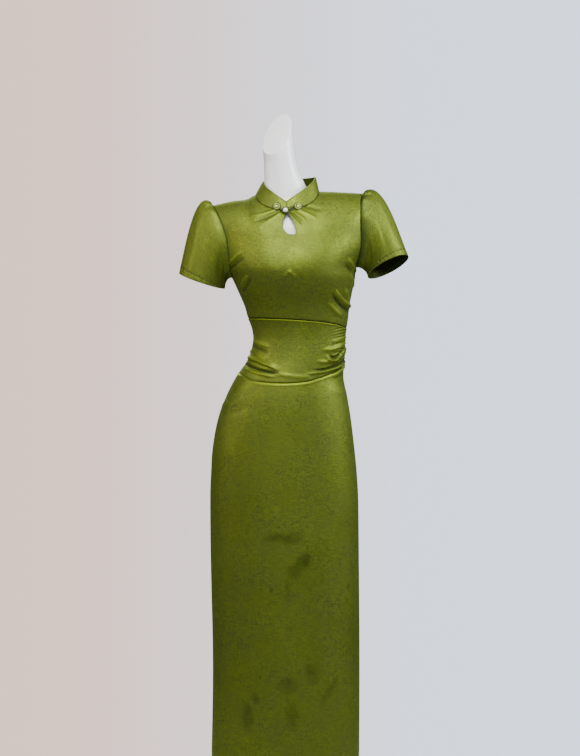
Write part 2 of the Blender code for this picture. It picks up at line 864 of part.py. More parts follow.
def cut_keyhole(front, cutters):
    curve = bpy.data.curves.new("keyhole_outline", "CURVE")
    curve.dimensions = "2D"
    curve.fill_mode = "BOTH"
    curve.extrude = 0.06
    spline = curve.splines.new("POLY")
    outline = list(KEYHOLE)
    outline.append((KEYHOLE[-1][0], SLIT_TOP))
    outline.append((KEYHOLE[0][0], SLIT_TOP))
    spline.points.add(len(outline) - 1)
    for point, (x, z) in zip(spline.points, outline):
        point.co = (x, z, 0.0, 1.0)
    spline.use_cyclic_u = True
    flat = bpy.data.objects.new("keyhole_outline", curve)
    flat.rotation_euler = (math.pi / 2, 0.0, 0.0)
    flat.location = (0.0, -0.09, 0.0)
    cutters.objects.link(flat)
    bpy.context.view_layer.update()
    seen = flat.evaluated_get(bpy.context.evaluated_depsgraph_get())
    mesh = bpy.data.meshes.new_from_object(seen)
    bm = bmesh.new()
    bm.from_mesh(mesh)
    bmesh.ops.remove_doubles(bm, verts=bm.verts[:], dist=0.00001)
    bmesh.ops.recalc_face_normals(bm, faces=bm.faces[:])
    bm.to_mesh(mesh)
    bm.free()
    cutter = bpy.data.objects.new("keyhole_cutter", mesh)
    cutter.matrix_world = flat.matrix_world
    bpy.data.objects.remove(flat)
    cutters.objects.link(cutter)
    cutter.hide_render = True
    cutter.display_type = "WIRE"
    cut = front.modifiers.new("keyhole", "BOOLEAN")
    cut.operation = "DIFFERENCE"
    cut.object = cutter
    cut.solver = "EXACT"


# The collar's outer face at a place seen from the front
def collar_spot(x, z):
    angle = math.pi + math.acos(max(-1.0, min(1.0, (NECK_X - x) / NECK_HALF)))
    low = neck_edge(False, 1, angle, angle)[0]
    base = smooth_point(*low)
    top = collar_top(angle)
    share = (z - base.z) / (top.z - base.z)
    point = base.lerp(top, share)
    ahead = smooth_point(*neck_edge(False, 1, angle + 0.02, angle + 0.02)[0])
    along = ahead.lerp(collar_top(angle + 0.02), share) - point
    normal = along.cross(top - base).normalized()
    return point, normal


def face_along(normal):
    return Vector((0.0, 0.0, 1.0)).rotation_difference(normal).to_matrix().to_4x4()


# A knot of coiled cord: a turned dome with a ring round it
def rosette(side, place, collection):
    point, normal = collar_spot(*place)
    profile = (
        (0.0, 0.92),
        (0.16, 0.88),
        (0.30, 0.70),
        (0.40, 0.56),
        (0.52, 0.78),
        (0.70, 0.92),
        (0.88, 0.80),
        (1.0, 0.45),
        (0.94, 0.12),
        (0.84, 0.0),
        (0.0, 0.0),
    )
    bm = bmesh.new()
    verts = [bm.verts.new((r * ROSETTE_RADIUS, 0.0, h * ROSETTE_HEIGHT)) for r, h in profile]
    edges = [bm.edges.new((verts[i], verts[i + 1])) for i in range(len(verts) - 1)]
    bmesh.ops.spin(bm, geom=verts + edges, cent=(0, 0, 0), axis=(0, 0, 1),
                   angle=2 * math.pi, steps=18, use_merge=True)
    bmesh.ops.remove_doubles(bm, verts=bm.verts[:], dist=0.00001)
    bmesh.ops.recalc_face_normals(bm, faces=bm.faces[:])
    lift = Matrix.Translation(point + normal * ROSETTE_LIFT[side])
    bmesh.ops.transform(bm, matrix=lift @ face_along(normal), verts=bm.verts[:])
    mesh = bpy.data.meshes.new("frog_rosette_" + side)
    bm.to_mesh(mesh)
    bm.free()
    return add_object("frog_rosette_" + side, mesh, "satin", collection)


def bead(collection):
    bm = bmesh.new()
    bmesh.ops.create_uvsphere(bm, u_segments=18, v_segments=11, radius=BEAD_RADIUS)
    bmesh.ops.translate(bm, vec=BEAD_CENTRE, verts=bm.verts[:])
    mesh = bpy.data.meshes.new("pearl_bead")
    bm.to_mesh(mesh)
    bm.free()
    return add_object("pearl_bead", mesh, "pearl", collection)


def cord(name, points, collection):
    curve = bpy.data.curves.new(name, "CURVE")
    curve.dimensions = "3D"
    curve.bevel_depth = CORD_RADIUS
    curve.bevel_resolution = 2
    curve.use_fill_caps = True
    spline = curve.splines.new("POLY")
    spline.points.add(len(points) - 1)
    for spot, point in zip(spline.points, points):
        spot.co = (*point, 1.0)
    made = bpy.data.objects.new(name, curve)
    curve.materials.append(material("cord"))
    collection.objects.link(made)
    return made


def frog_cords(collection):
    ring = BEAD_RADIUS + CORD_RADIUS + SEAM_GAP
    loop = []
    right = collar_spot(*ROSETTE_LEFT)
    lift = right[0] + right[1] * CORD_LIFT
    clear = ROSETTE_RADIUS + CORD_RADIUS + SEAM_GAP
    aim = Vector((BEAD_CENTRE.x - lift.x, 0.0, BEAD_CENTRE.z - lift.z)).normalized()
    root = lift + aim * clear
    loop.append(root + Vector((0.0, 0.0, LOOP_HALF)))
    for step in range(LOOP_STEPS + 1):
        angle = mix(LOOP_OPENING, 2 * math.pi - LOOP_OPENING, step / LOOP_STEPS)
        loop.append(BEAD_CENTRE + Vector((ring * math.cos(angle), BEAD_BACK, ring * math.sin(angle))))
    loop.append(root - Vector((0.0, 0.0, LOOP_HALF)))
    cord("frog_loop", loop, collection)
    left = collar_spot(*ROSETTE_RIGHT)
    lift = left[0] + left[1] * CORD_LIFT
    end = BEAD_CENTRE + Vector((-ring - 2 * CORD_RADIUS - SEAM_GAP, BEAD_BACK, 0.0))
    aim = Vector((end.x - lift.x, 0.0, end.z - lift.z)).normalized()
    root = lift + aim * clear
    cord("frog_stem", [root, root.lerp(end, 0.5), end], collection)


def box(bm, size, centre):
    made = bmesh.ops.create_cube(bm, size=1.0)["verts"]
    bmesh.ops.scale(bm, vec=size, verts=made)
    bmesh.ops.translate(bm, vec=centre, verts=made)


# Zip slider on the outside of the collar's back, with a pin held between two cheeks
def zip_slider(collection, cutters):
    surface = smooth_collar_back(SLIDER_HEIGHT)
    seat = surface + SLIDER_STAND
    front = seat + SLIDER_DEPTH
    hinge = Vector((slider_x(), front + BARREL_RADIUS + SEAM_GAP, SLIDER_HEIGHT + SLIDER_LENGTH / 4))
    reach = TAB_WIDTH / 2 + SEAM_GAP + CHEEK_WIDTH
    mesh = bpy.data.meshes.new("zip_slider")
    bm = bmesh.new()
    box(bm, (SLIDER_WIDTH, SLIDER_DEPTH, SLIDER_LENGTH), (hinge.x, seat + SLIDER_DEPTH / 2, SLIDER_HEIGHT))
    bm.to_mesh(mesh)
    bm.free()
    slider = add_object("zip_slider", mesh, "metal", collection)
    size = (CHEEK_WIDTH, 2 * BARREL_RADIUS + SEAM_GAP + CHEEK_ROOT, 2 * BARREL_RADIUS)
    for name, way in (("cheek_right", -1), ("cheek_left", 1)):
        bm = bmesh.new()
        box(bm, size, (hinge.x + way * (reach - CHEEK_WIDTH / 2), hinge.y - CHEEK_ROOT / 2, hinge.z))
        join(slider, name, bm, cutters)
    bm = bmesh.new()
    turn = Matrix.Translation(hinge) @ Matrix.Rotation(math.pi / 2, 4, "Y")
    bmesh.ops.create_cone(bm, cap_ends=True, segments=12, radius1=PIN_RADIUS, radius2=PIN_RADIUS,
                          depth=2 * reach - CHEEK_WIDTH, matrix=turn)
    join(slider, "pin", bm, cutters)
    return hinge


def join(target, name, bm, cutters, operation="UNION"):
    mesh = bpy.data.meshes.new(name)
    bm.to_mesh(mesh)
    bm.free()
    tool = bpy.data.objects.new(name, mesh)
    cutters.objects.link(tool)
    tool.hide_render = True
    tool.display_type = "WIRE"
    step = target.modifiers.new(name, "BOOLEAN")
    step.operation = operation
    step.object = tool
    step.solver = "EXACT"


def slider_x():
    return mix(NECK_X, TOP_X, 0.75)


# y of the collar's outer face at centre back at a height
def smooth_collar_back(height):
    low = smooth_point(*neck_edge(True, 1, math.pi / 2, math.pi / 2)[0])
    top = collar_top(math.pi / 2)
    return mix(low.y, top.y, (height - low.z) / (top.z - low.z))


# The pull tab hangs from the pin: its origin is on the hinge
def zip_pull(hinge, collection, cutters):
    bm = bmesh.new()
    side = Matrix.Rotation(math.pi / 2, 4, "Y")
    bmesh.ops.create_cone(bm, cap_ends=True, segments=16, radius1=BARREL_RADIUS, radius2=BARREL_RADIUS,
                          depth=TAB_WIDTH, matrix=side)
    mesh = bpy.data.meshes.new("zip_pull")
    bm.to_mesh(mesh)
    bm.free()
    pull = add_object("zip_pull", mesh, "metal", collection)
    bm = bmesh.new()
    box(bm, (TAB_WIDTH * 0.9, TAB_DEPTH, TAB_LENGTH), (0.0, 0.0, -BORE_RADIUS - TAB_LENGTH / 2))
    join(pull, "tab_plate", bm, cutters)
    bm = bmesh.new()
    bmesh.ops.create_cone(bm, cap_ends=True, segments=16, radius1=BORE_RADIUS, radius2=BORE_RADIUS,
                          depth=2 * TAB_WIDTH, matrix=side)
    join(pull, "tab_bore", bm, cutters, "DIFFERENCE")
    for name in ("tab_plate", "tab_bore"):
        cutters.objects[name].parent = pull
    pull.location = hinge
    return pull


def form_ring(right, left, front, back, height, lean):
    ring = []
    for cell in range(FORM_CELLS + 1):
        turn = 2 * math.pi * (cell % FORM_CELLS) / FORM_CELLS
        x = (right + left) / 2 + (left - right) / 2 * math.cos(turn)
        y = (back if math.sin(turn) > 0 else front) * math.sin(turn)
        ring.append(Vector((x, y, height + lean * x)))
    return ring


def form_body_ring(height):
    inset = read_table(FORM_EASE, height, 1)
    middle = sum(side_lines(height)) / 2
    ring = []
    for cell in range(FORM_CELLS + 1):
        turn = 2 * math.pi * (cell % FORM_CELLS) / FORM_CELLS
        point = smooth_point(turn, height) - smooth_normal(turn, height) * inset
        share = read_table(FORM_SQUEEZE, height, 1 if point.x < middle else 2)
        point.x = mix(middle, point.x, share)
        ring.append(point)
    return ring


# Torso of the dress form, rounded off below the hips, with a neck that is cut at a slant
def form_torso(collection):
    rings = []
    lowest = form_body_ring(FORM_BOTTOM)
    middle = sum(lowest[:-1], Vector()) / FORM_CELLS
    for share in reversed(BOTTOM_ROUND):
        width = math.sqrt(1 - share * share)
        drop = Vector((0.0, 0.0, BOTTOM_DROP * share))
        rings.append([middle + (point - middle) * width - drop for point in lowest])
    for row in range(FORM_ROWS + 1):
        height = mix(FORM_BOTTOM, FORM_SHOULDER, row / FORM_ROWS)
        rings.append(form_body_ring(height))
    for height, right, left, front, back, lean in FORM_TOP:
        rings.append(form_ring(right, left, front, back, height, lean))
    last = rings[-1]
    right, left, front, back = NECK_TOP
    flat = form_ring(right, left, front, back, 0.0, 0.0)
    for step in range(1, NECK_STEPS + 1):
        share = step / NECK_STEPS
        ring = []
        for low, spot in zip(last, flat):
            x = mix(low.x, spot.x, share)
            y = mix(low.y, spot.y, share)
            cut = CUT_HEIGHT + CUT_SLOPE_X * (x - CUT_CENTRE_X) + CUT_SLOPE_Y * y
            ring.append(Vector((x, y, mix(low.z, cut, share))))
        rings.append(ring)
    bm = bmesh.new()
    rows = len(rings) - 1
    bmesh.ops.create_grid(bm, x_segments=FORM_CELLS, y_segments=rows, size=0.5)
    for vert in bm.verts:
        cell = round((vert.co.x + 0.5) * FORM_CELLS)
        row = round((vert.co.y + 0.5) * rows)
        vert.co = rings[row][cell]
    bmesh.ops.remove_doubles(bm, verts=bm.verts[:], dist=0.00001)
    rims = [edge for edge in bm.edges if edge.is_boundary]
    bmesh.ops.holes_fill(bm, edges=rims, sides=0)
    bmesh.ops.recalc_face_normals(bm, faces=bm.faces[:])
    mesh = bpy.data.meshes.new("form_torso")
    bm.to_mesh(mesh)
    bm.free()
    return add_object("form_torso", mesh, "form", collection)


def turned(name, radius, low, high, edge, slot, collection):
    bm = bmesh.new()
    bmesh.ops.create_cone(bm, cap_ends=True, segments=ROUND_SIDES, radius1=radius, radius2=radius,
                          depth=high - low, matrix=Matrix.Translation((0.0, 0.0, (low + high) / 2)))
    if edge:
        rim = [e for e in bm.edges if all(v.co.z > high - 0.0001 for v in e.verts)]
        bmesh.ops.bevel(bm, geom=rim, offset=edge, offset_type="OFFSET", segments=2,
                        profile=0.5, affect="EDGES", material=-1)
    mesh = bpy.data.meshes.new(name)
    bm.to_mesh(mesh)
    bm.free()
    return add_object(name, mesh, slot, collection)


def build():
    for old in list(bpy.data.objects):
        bpy.data.objects.remove(old)
    parts = bpy.data.collections.new("cheongsam_dress")
    cutters = bpy.data.collections.new("cutters")
    bpy.context.scene.collection.children.link(parts)
    bpy.context.scene.collection.children.link(cutters)
    front = bodice_front(parts)
    cut_keyhole(front, cutters)
    for side in ("left", "right"):
        bodice_back(side, parts)
        sleeve(side, parts)
        collar(side, parts)
    waistband(parts)
    skirt(parts)
    rosette("right", ROSETTE_RIGHT, parts)
    rosette("left", ROSETTE_LEFT, parts)
    bead(parts)
    frog_cords(parts)
    hinge = zip_slider(parts, cutters)
    zip_pull(hinge, parts, cutters)
    form_torso(parts)
    floor = BOTTOM_DROP * BOTTOM_ROUND[-1]
    turned("form_pole", POLE_RADIUS, BASE_HEIGHT + SEAM_GAP, FORM_BOTTOM - floor - SEAM_GAP,
           0.0, "stand", parts)
    turned("form_base", BASE_RADIUS, 0.0, BASE_HEIGHT, BASE_EDGE, "stand", parts)


build()
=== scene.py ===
import math

import bmesh
import bpy
import numpy as np
from mathutils import Matrix, Vector


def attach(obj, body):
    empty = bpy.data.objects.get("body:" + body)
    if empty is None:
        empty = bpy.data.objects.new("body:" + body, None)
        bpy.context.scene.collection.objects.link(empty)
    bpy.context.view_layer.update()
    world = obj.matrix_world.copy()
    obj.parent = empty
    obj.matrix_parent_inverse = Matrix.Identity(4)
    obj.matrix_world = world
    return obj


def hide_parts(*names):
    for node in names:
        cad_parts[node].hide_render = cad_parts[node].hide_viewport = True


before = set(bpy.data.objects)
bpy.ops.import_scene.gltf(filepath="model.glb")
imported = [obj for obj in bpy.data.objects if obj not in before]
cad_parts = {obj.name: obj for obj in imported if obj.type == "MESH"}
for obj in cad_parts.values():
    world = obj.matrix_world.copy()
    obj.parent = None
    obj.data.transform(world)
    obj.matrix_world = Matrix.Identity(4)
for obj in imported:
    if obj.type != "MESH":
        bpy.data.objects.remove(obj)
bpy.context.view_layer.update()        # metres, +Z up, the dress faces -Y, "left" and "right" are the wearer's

print("frame loaded:", len(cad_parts), "nodes")

view = {"distance": 12.0, "x": 0.0108, "height": 0.9872, "frameHeight": 1.8144, "sensor": 36.0}

camera = bpy.data.cameras.new("camera")
camera.sensor_width = view["sensor"]
camera.lens = view["sensor"] * view["distance"] / view["frameHeight"]
camera.clip_end = 40.0
cameraObject = bpy.data.objects.new("camera", camera)
cameraObject.location = (view["x"], -view["distance"], view["height"])
cameraObject.rotation_euler = (math.pi / 2, 0.0, 0.0)
bpy.context.scene.collection.objects.link(cameraObject)
bpy.context.scene.camera = cameraObject

lamps = {
    # name: place, aim, width, height, watts, colour
    "topFront": ((-0.05, -1.65, 3.00), (0.0, 0.0, 1.45), 1.4, 0.9, 21.0, (1.0, 1.0, 0.97)),
    "keyRight": ((2.7, -0.7, 2.4), (0.12, 0.0, 1.45), 0.8, 1.0, 20.0, (0.95, 1.0, 1.0)),
    "fillLeft": ((-2.5, -1.0, 2.2), (0.0, 0.0, 1.42), 0.9, 1.0, 7.5, (1.0, 0.83, 0.70)),
    "frontSoft": ((-0.5, -4.0, 1.75), (0.0, 0.0, 1.35), 1.8, 1.4, 3.2, (1.0, 1.0, 1.0)),
    "backSoft": ((-0.4, 2.6, 2.5), (0.0, 0.0, 1.2), 1.6, 1.6, 9.0, (1.0, 1.0, 1.0)),
}
lampSpread = 80.0
# the pale room: what the camera sees on its left and right, and how much light the room gives
room = {"left": (0.62, 0.455, 0.390, 1.0), "right": (0.62, 0.715, 0.86, 1.0), "seen": 2.35,
        "edge": (-0.055, 0.045), "light": (0.86, 0.88, 0.94, 1.0), "strength": 0.19}
floor = {"colours": ((0.84, 0.84, 0.86, 1.0), (0.88, 0.88, 0.90, 1.0)), "radius": 1.0}


def addLamp(name, place, aim, width, height, watts, colour):
    lamp = bpy.data.lights.new(name, "AREA")
    lamp.shape = "RECTANGLE"
    lamp.size, lamp.size_y = width, height
    lamp.energy = watts
    lamp.color = colour
    made = bpy.data.objects.new(name, lamp)
    lamp.spread = math.radians(lampSpread)
    made.location = place
    made.rotation_euler = (Vector(aim) - Vector(place)).to_track_quat("-Z", "Y").to_euler()
    bpy.context.scene.collection.objects.link(made)


for name, values in lamps.items():
    addLamp(name, *values)


def addNode(tree, kind, links=None, **settings):
    node = tree.nodes.new(kind)
    for key, value in settings.items():
        setattr(node, key, value)
    for socket, value in (links or {}).items():
        if isinstance(value, bpy.types.NodeSocket):
            tree.links.new(value, node.inputs[socket])
        else:
            node.inputs[socket].default_value = value
    return node


def math2(tree, operation, a, b=0.0, c=0.0, clamp=False):
    return addNode(tree, "ShaderNodeMath", {0: a, 1: b, 2: c}, operation=operation,
                   use_clamp=clamp).outputs[0]


def mixColour(tree, factor, a, b):
    return addNode(tree, "ShaderNodeMix", {0: factor, 6: a, 7: b}, data_type="RGBA").outputs[2]


def newGroup(name, inputs, outputs):
    group = bpy.data.node_groups.new(name, "ShaderNodeTree")
    for label, kind, value in inputs:
        socket = group.interface.new_socket(label, in_out="INPUT", socket_type=kind)
        if value is not None:
            socket.default_value = value
    for label, kind in outputs:
        group.interface.new_socket(label, in_out="OUTPUT", socket_type=kind)
    return group, group.nodes.new("NodeGroupInput"), group.nodes.new("NodeGroupOutput")


def useGroup(tree, group, links):
    return addNode(tree, "ShaderNodeGroup", links, node_tree=group)


def addNoise(tree, vector, scale, detail=2.0, roughness=0.5):
    return addNode(tree, "ShaderNodeTexNoise", {"Vector": vector, "Scale": scale, "Detail": detail,
                                                "Roughness": roughness})


# Carries a value over from the range low to high to the range start to end
def spread(tree, value, low, high, start=0.0, end=1.0, kind="LINEAR"):
    return addNode(tree, "ShaderNodeMapRange", {0: value, 1: low, 2: high, 3: start, 4: end},
                   interpolation_type=kind).outputs[0]


def shifted(tree, vector, shift, operation="ADD"):
    return addNode(tree, "ShaderNodeVectorMath", {0: vector, 1: shift}, operation=operation).outputs[0]


# Adds a share of value, taken from its middle, to base
def addShare(tree, value, share, base):
    return math2(tree, "MULTIPLY_ADD", math2(tree, "SUBTRACT", value, 0.5), share, base)


# One field of five-petalled flowers, each turned its own way, as a soft mask
def makeFlowerField():
    group, start, end = newGroup("flowerField", (
        ("Vector", "NodeSocketVector", None),
        ("Per Metre", "NodeSocketFloat", 14.0),
        ("Reach", "NodeSocketFloat", 0.34),
    ), (("Flower", "NodeSocketFloat"),))
    cells = addNode(group, "ShaderNodeTexVoronoi", {
        "Vector": start.outputs["Vector"], "Scale": start.outputs["Per Metre"], "Randomness": 0.8,
    }, voronoi_dimensions="2D")
    away = shifted(group, start.outputs["Vector"], cells.outputs["Position"], "SUBTRACT")
    split = addNode(group, "ShaderNodeSeparateXYZ", {0: away})
    chance = addNode(group, "ShaderNodeSeparateColor", {0: cells.outputs["Color"]})
    turn = math2(group, "ARCTAN2", split.outputs[1], split.outputs[0])
    turn = math2(group, "MULTIPLY_ADD", chance.outputs[0], 6.2832, turn)
    lobes = math2(group, "ABSOLUTE", math2(group, "COSINE", math2(group, "MULTIPLY", turn, 2.5)))
    edge = math2(group, "MULTIPLY_ADD", math2(group, "POWER", lobes, 0.55), 0.46, 0.54)
    edge = math2(group, "MULTIPLY", edge, start.outputs["Reach"])
    edge = math2(group, "MULTIPLY", edge, math2(group, "MULTIPLY_ADD", chance.outputs[1], 0.55, 0.55))
    inside = math2(group, "SUBTRACT", edge, cells.outputs["Distance"])
    group.links.new(spread(group, inside, -0.110, 0.150, kind="SMOOTHSTEP"), end.inputs["Flower"])
    return group


# Satin jacquard: twill floats, soft flowers tone on tone and uneven dye, with painted shade and painted
# highlights from its shading input
def makeJacquard(flowerField):
    group, start, end = newGroup("satinJacquard", (
        ("Vector", "NodeSocketVector", None),
        ("Ground", "NodeSocketColor", (0.13, 0.16, 0.02, 1.0)),
        ("Deep", "NodeSocketColor", (0.06, 0.08, 0.01, 1.0)),
        ("Pale", "NodeSocketColor", (0.22, 0.26, 0.05, 1.0)),
        ("Bloom", "NodeSocketFloat", 0.0),
        ("PaintedShading", "NodeSocketFloat", 0.0),
    ), (("Color", "NodeSocketColor"), ("Roughness", "NodeSocketFloat"), ("Height", "NodeSocketFloat")))
    place = start.outputs["Vector"]
    bend = addNoise(group, place, 22.0, 4.0)
    bent = shifted(group, bend.outputs["Color"], (-0.5, -0.5, -0.5))
    bent = addNode(group, "ShaderNodeVectorMath", {0: bent, "Scale": 0.060}, operation="SCALE").outputs[0]
    bent = shifted(group, place, bent)
    big = useGroup(group, flowerField, {"Vector": bent, "Per Metre": 8.0, "Reach": 0.44})
    small = useGroup(group, flowerField, {"Vector": shifted(group, bent, (0.37, 0.21, 0.0)),
                                          "Per Metre": 19.0, "Reach": 0.42})
    small = math2(group, "MULTIPLY", small.outputs["Flower"], 0.7)
    flowers = math2(group, "MAXIMUM", big.outputs["Flower"], small)
    # twill floats run at a slant and break up into short grains
    slant = {"Vector": place, "Rotation": (0.0, 0.0, 0.62)}
    fine = addNode(group, "ShaderNodeMapping", {**slant, "Scale": (330.0, 900.0, 1.0)})
    grain = addNoise(group, fine.outputs[0], 1.0).outputs[0]
    broad = addNode(group, "ShaderNodeMapping", {**slant, "Scale": (60.0, 260.0, 1.0)})
    streak = addNoise(group, broad.outputs[0], 1.0, 3.0).outputs[0]
    dye = addNoise(group, place, 5.0, 4.0).outputs[0]
    specks = spread(group, addNoise(group, place, 120.0).outputs[0], 0.66, 0.74)
    fleck = spread(group, addNoise(group, bent, 190.0, 4.0, 0.7).outputs[0], 0.36, 0.64)
    # the flecks come and go over the cloth
    calm = spread(group, addNoise(group, place, 11.0).outputs[0], 0.38, 0.62, 0.16, 0.62)
    tone = addShare(group, streak, 0.60, 0.30)
    tone = addShare(group, fleck, calm, tone)
    # painted highlight raises the tone, painted shade lowers it
    tone = math2(group, "ADD", start.outputs["PaintedShading"], tone)
    tone = addShare(group, grain, 0.30, tone)
    tone = addShare(group, dye, 0.50, tone)
    tone = math2(group, "MULTIPLY_ADD", flowers, 0.16, tone, clamp=True)
    colour = mixColour(group, tone, start.outputs["Ground"], start.outputs["Pale"])
    torn = spread(group, bend.outputs["Fac"], 0.30, 0.60, 0.35, 1.0)
    dark = math2(group, "MULTIPLY", torn, start.outputs["Bloom"])
    dark = math2(group, "MULTIPLY_ADD", flowers, 0.10, dark)
    dark = math2(group, "MULTIPLY_ADD", specks, 0.22, dark)
    # painted shade also darkens the colour towards Deep
    paintedDark = math2(group, "MULTIPLY", start.outputs["PaintedShading"], -1.0)
    dark = math2(group, "MAXIMUM", dark, paintedDark, clamp=True)
    colour = mixColour(group, dark, colour, start.outputs["Deep"])
    group.links.new(colour, end.inputs["Color"])
    rough = math2(group, "MULTIPLY_ADD", flowers, -0.08, 0.52)
    group.links.new(addShare(group, streak, 0.18, rough), end.inputs["Roughness"])
    high = math2(group, "MULTIPLY_ADD", flowers, 0.35, grain)
    high = math2(group, "MULTIPLY_ADD", streak, 0.8, high)
    high = math2(group, "MULTIPLY_ADD", fleck, 0.9, high)
    group.links.new(high, end.inputs["Height"])
    return group


flowerField = makeFlowerField()
jacquard = makeJacquard(flowerField)

cloths = {
    # ground, deep and pale dye of the satin, deep and pale also the ends of its painted shade and painted
    # highlights, and how strongly the weave stands out
    "satin": {"ground": (0.074, 0.098, 0.0205, 1.0), "deep": (0.022, 0.036, 0.0050, 1.0),
              "pale": (0.200, 0.250, 0.0200, 1.0), "bump": 0.34, "metallic": 0.62},
    # the wrong side, dull and in shade
    "satinBack": {"ground": (0.022, 0.030, 0.0030, 1.0), "deep": (0.012, 0.018, 0.0020, 1.0),
                  "pale": (0.050, 0.062, 0.0080, 1.0), "bump": 0.20, "metallic": 0.0},
    "binding": {"ground": (0.060, 0.075, 0.0040, 1.0), "deep": (0.020, 0.030, 0.0030, 1.0),
                "pale": (0.130, 0.160, 0.0160, 1.0), "bump": 0.25, "metallic": 0.4},
}


def newMaterial(name):
    made = bpy.data.materials.new(name)
    made.use_nodes = True
    tree = made.node_tree
    return made, tree, tree.nodes["Principled BSDF"]


# A material whose pattern is laid out in the object's own space
def solidMaterial(name):
    made, tree, shader = newMaterial(name)
    return made, tree, shader, addNode(tree, "ShaderNodeTexCoord").outputs["Object"]


def setSockets(shader, values):
    for socket, value in values.items():
        shader.inputs[socket].default_value = value


def addBump(tree, shader, height, strength, distance):
    bump = addNode(tree, "ShaderNodeBump", {"Height": height, "Strength": strength, "Distance": distance})
    tree.links.new(bump.outputs[0], shader.inputs["Normal"])


def makeSatin(name):
    values = cloths[name]
    made, tree, shader = newMaterial(name)
    place = addNode(tree, "ShaderNodeUVMap", uv_map="cloth")
    bloom = addNode(tree, "ShaderNodeAttribute", attribute_name="bloom")
    # painted shade and painted highlight, laid per vertex
    paintedShading = addNode(tree, "ShaderNodeAttribute", attribute_name="paintedShading")
    weave = useGroup(tree, jacquard, {
        "Vector": place.outputs[0], "Ground": values["ground"], "Deep": values["deep"],
        "Pale": values["pale"], "Bloom": bloom.outputs["Fac"], "PaintedShading": paintedShading.outputs["Fac"]})
    tree.links.new(weave.outputs["Color"], shader.inputs["Base Color"])
    tree.links.new(weave.outputs["Roughness"], shader.inputs["Roughness"])
    addBump(tree, shader, weave.outputs["Height"], values["bump"], 0.0006)
    setSockets(shader, {
        "Metallic": values["metallic"], "Sheen Weight": 0.04, "Sheen Roughness": 0.45,
        "Sheen Tint": (0.75, 0.85, 0.30, 1.0), "Specular IOR Level": 0.18,
        "Specular Tint": (0.62, 0.78, 0.22, 1.0)})
    return made


# Twisted or covered cord: strands wind round the tube
def makeCordMaterial(name, colour, pale, strands, roughness):
    made, tree, shader, place = solidMaterial(name)
    wave = addNode(tree, "ShaderNodeTexWave", {"Vector": place, "Scale": strands, "Distortion": 1.5,
                                               "Detail": 1.0}).outputs["Fac"]
    noise = addNoise(tree, place, 260.0).outputs[0]
    mask = math2(tree, "MULTIPLY_ADD", noise, 0.4, math2(tree, "MULTIPLY", wave, 0.6))
    tree.links.new(mixColour(tree, mask, colour, pale), shader.inputs["Base Color"])
    addBump(tree, shader, wave, 0.35, 0.0004)
    setSockets(shader, {"Roughness": roughness, "Specular Tint": (0.70, 0.85, 0.35, 1.0)})
    return made


def makePearl():
    made, tree, shader, place = solidMaterial("pearlLustre")
    noise = addNoise(tree, place, 220.0, 3.0).outputs[0]
    lustre = mixColour(tree, noise, (0.86, 0.82, 0.74, 1.0), (0.95, 0.93, 0.95, 1.0))
    tree.links.new(lustre, shader.inputs["Base Color"])
    tree.links.new(math2(tree, "MULTIPLY_ADD", noise, 0.10, 0.13), shader.inputs["Roughness"])
    setSockets(shader, {"Coat Weight": 0.6, "Subsurface Weight": 0.15, "Subsurface Scale": 0.002})
    return made


def makeMetal():
    made, tree, shader, place = solidMaterial("brushedMetal")
    lines = addNode(tree, "ShaderNodeMapping", {"Vector": place, "Scale": (4000.0, 4000.0, 300.0)})
    noise = addNoise(tree, lines.outputs[0], 1.0).outputs[0]
    brushed = mixColour(tree, noise, (0.42, 0.42, 0.38, 1.0), (0.66, 0.66, 0.60, 1.0))
    tree.links.new(brushed, shader.inputs["Base Color"])
    tree.links.new(math2(tree, "MULTIPLY_ADD", noise, 0.25, 0.18), shader.inputs["Roughness"])
    setSockets(shader, {"Metallic": 1.0})
    return made


# White lacquer of the form: faint unevenness of tone, gloss and surface
def makeLacquer(name, colour, shade, roughness):
    made, tree, shader, place = solidMaterial(name)
    noise = addNoise(tree, place, 7.0, 5.0).outputs[0]
    tree.links.new(mixColour(tree, noise, colour, shade), shader.inputs["Base Color"])
    tree.links.new(math2(tree, "MULTIPLY_ADD", noise, 0.16, roughness), shader.inputs["Roughness"])
    addBump(tree, shader, addNoise(tree, place, 420.0).outputs[0], 0.08, 0.0004)
    setSockets(shader, {"Coat Weight": 0.15})
    return made


satin, satinBack, binding = makeSatin("satin"), makeSatin("satinBack"), makeSatin("binding")
cords = {
    # dark and pale of the strands, how many, roughness
    # the knot's cord and eye are paler than the dress's satin: painted highlight on the knot
    "knotSatinCord": ((0.16, 0.20, 0.020, 1.0), (0.42, 0.50, 0.10, 1.0), 420.0, 0.22),
    "knotEyeSatin": ((0.45, 0.50, 0.14, 1.0), (0.75, 0.80, 0.42, 1.0), 180.0, 0.10),
    "darkTwistedCordAndShade": ((0.012, 0.016, 0.004, 1.0), (0.05, 0.06, 0.02, 1.0), 700.0, 0.5),
    "sewingThread": ((0.085, 0.105, 0.015, 1.0), (0.17, 0.20, 0.04, 1.0), 900.0, 0.45),
}
knotCord, knotSatin, darkCordAndShade, thread = [makeCordMaterial(name, *values) for name, values in cords.items()]
pearl = makePearl()
metal = makeMetal()
formWhite = makeLacquer("formLacquer", (0.90, 0.91, 0.93, 1.0), (0.82, 0.83, 0.86, 1.0), 0.30)
standWhite = makeLacquer("standLacquer", (0.74, 0.74, 0.77, 1.0), (0.66, 0.66, 0.70, 1.0), 0.28)


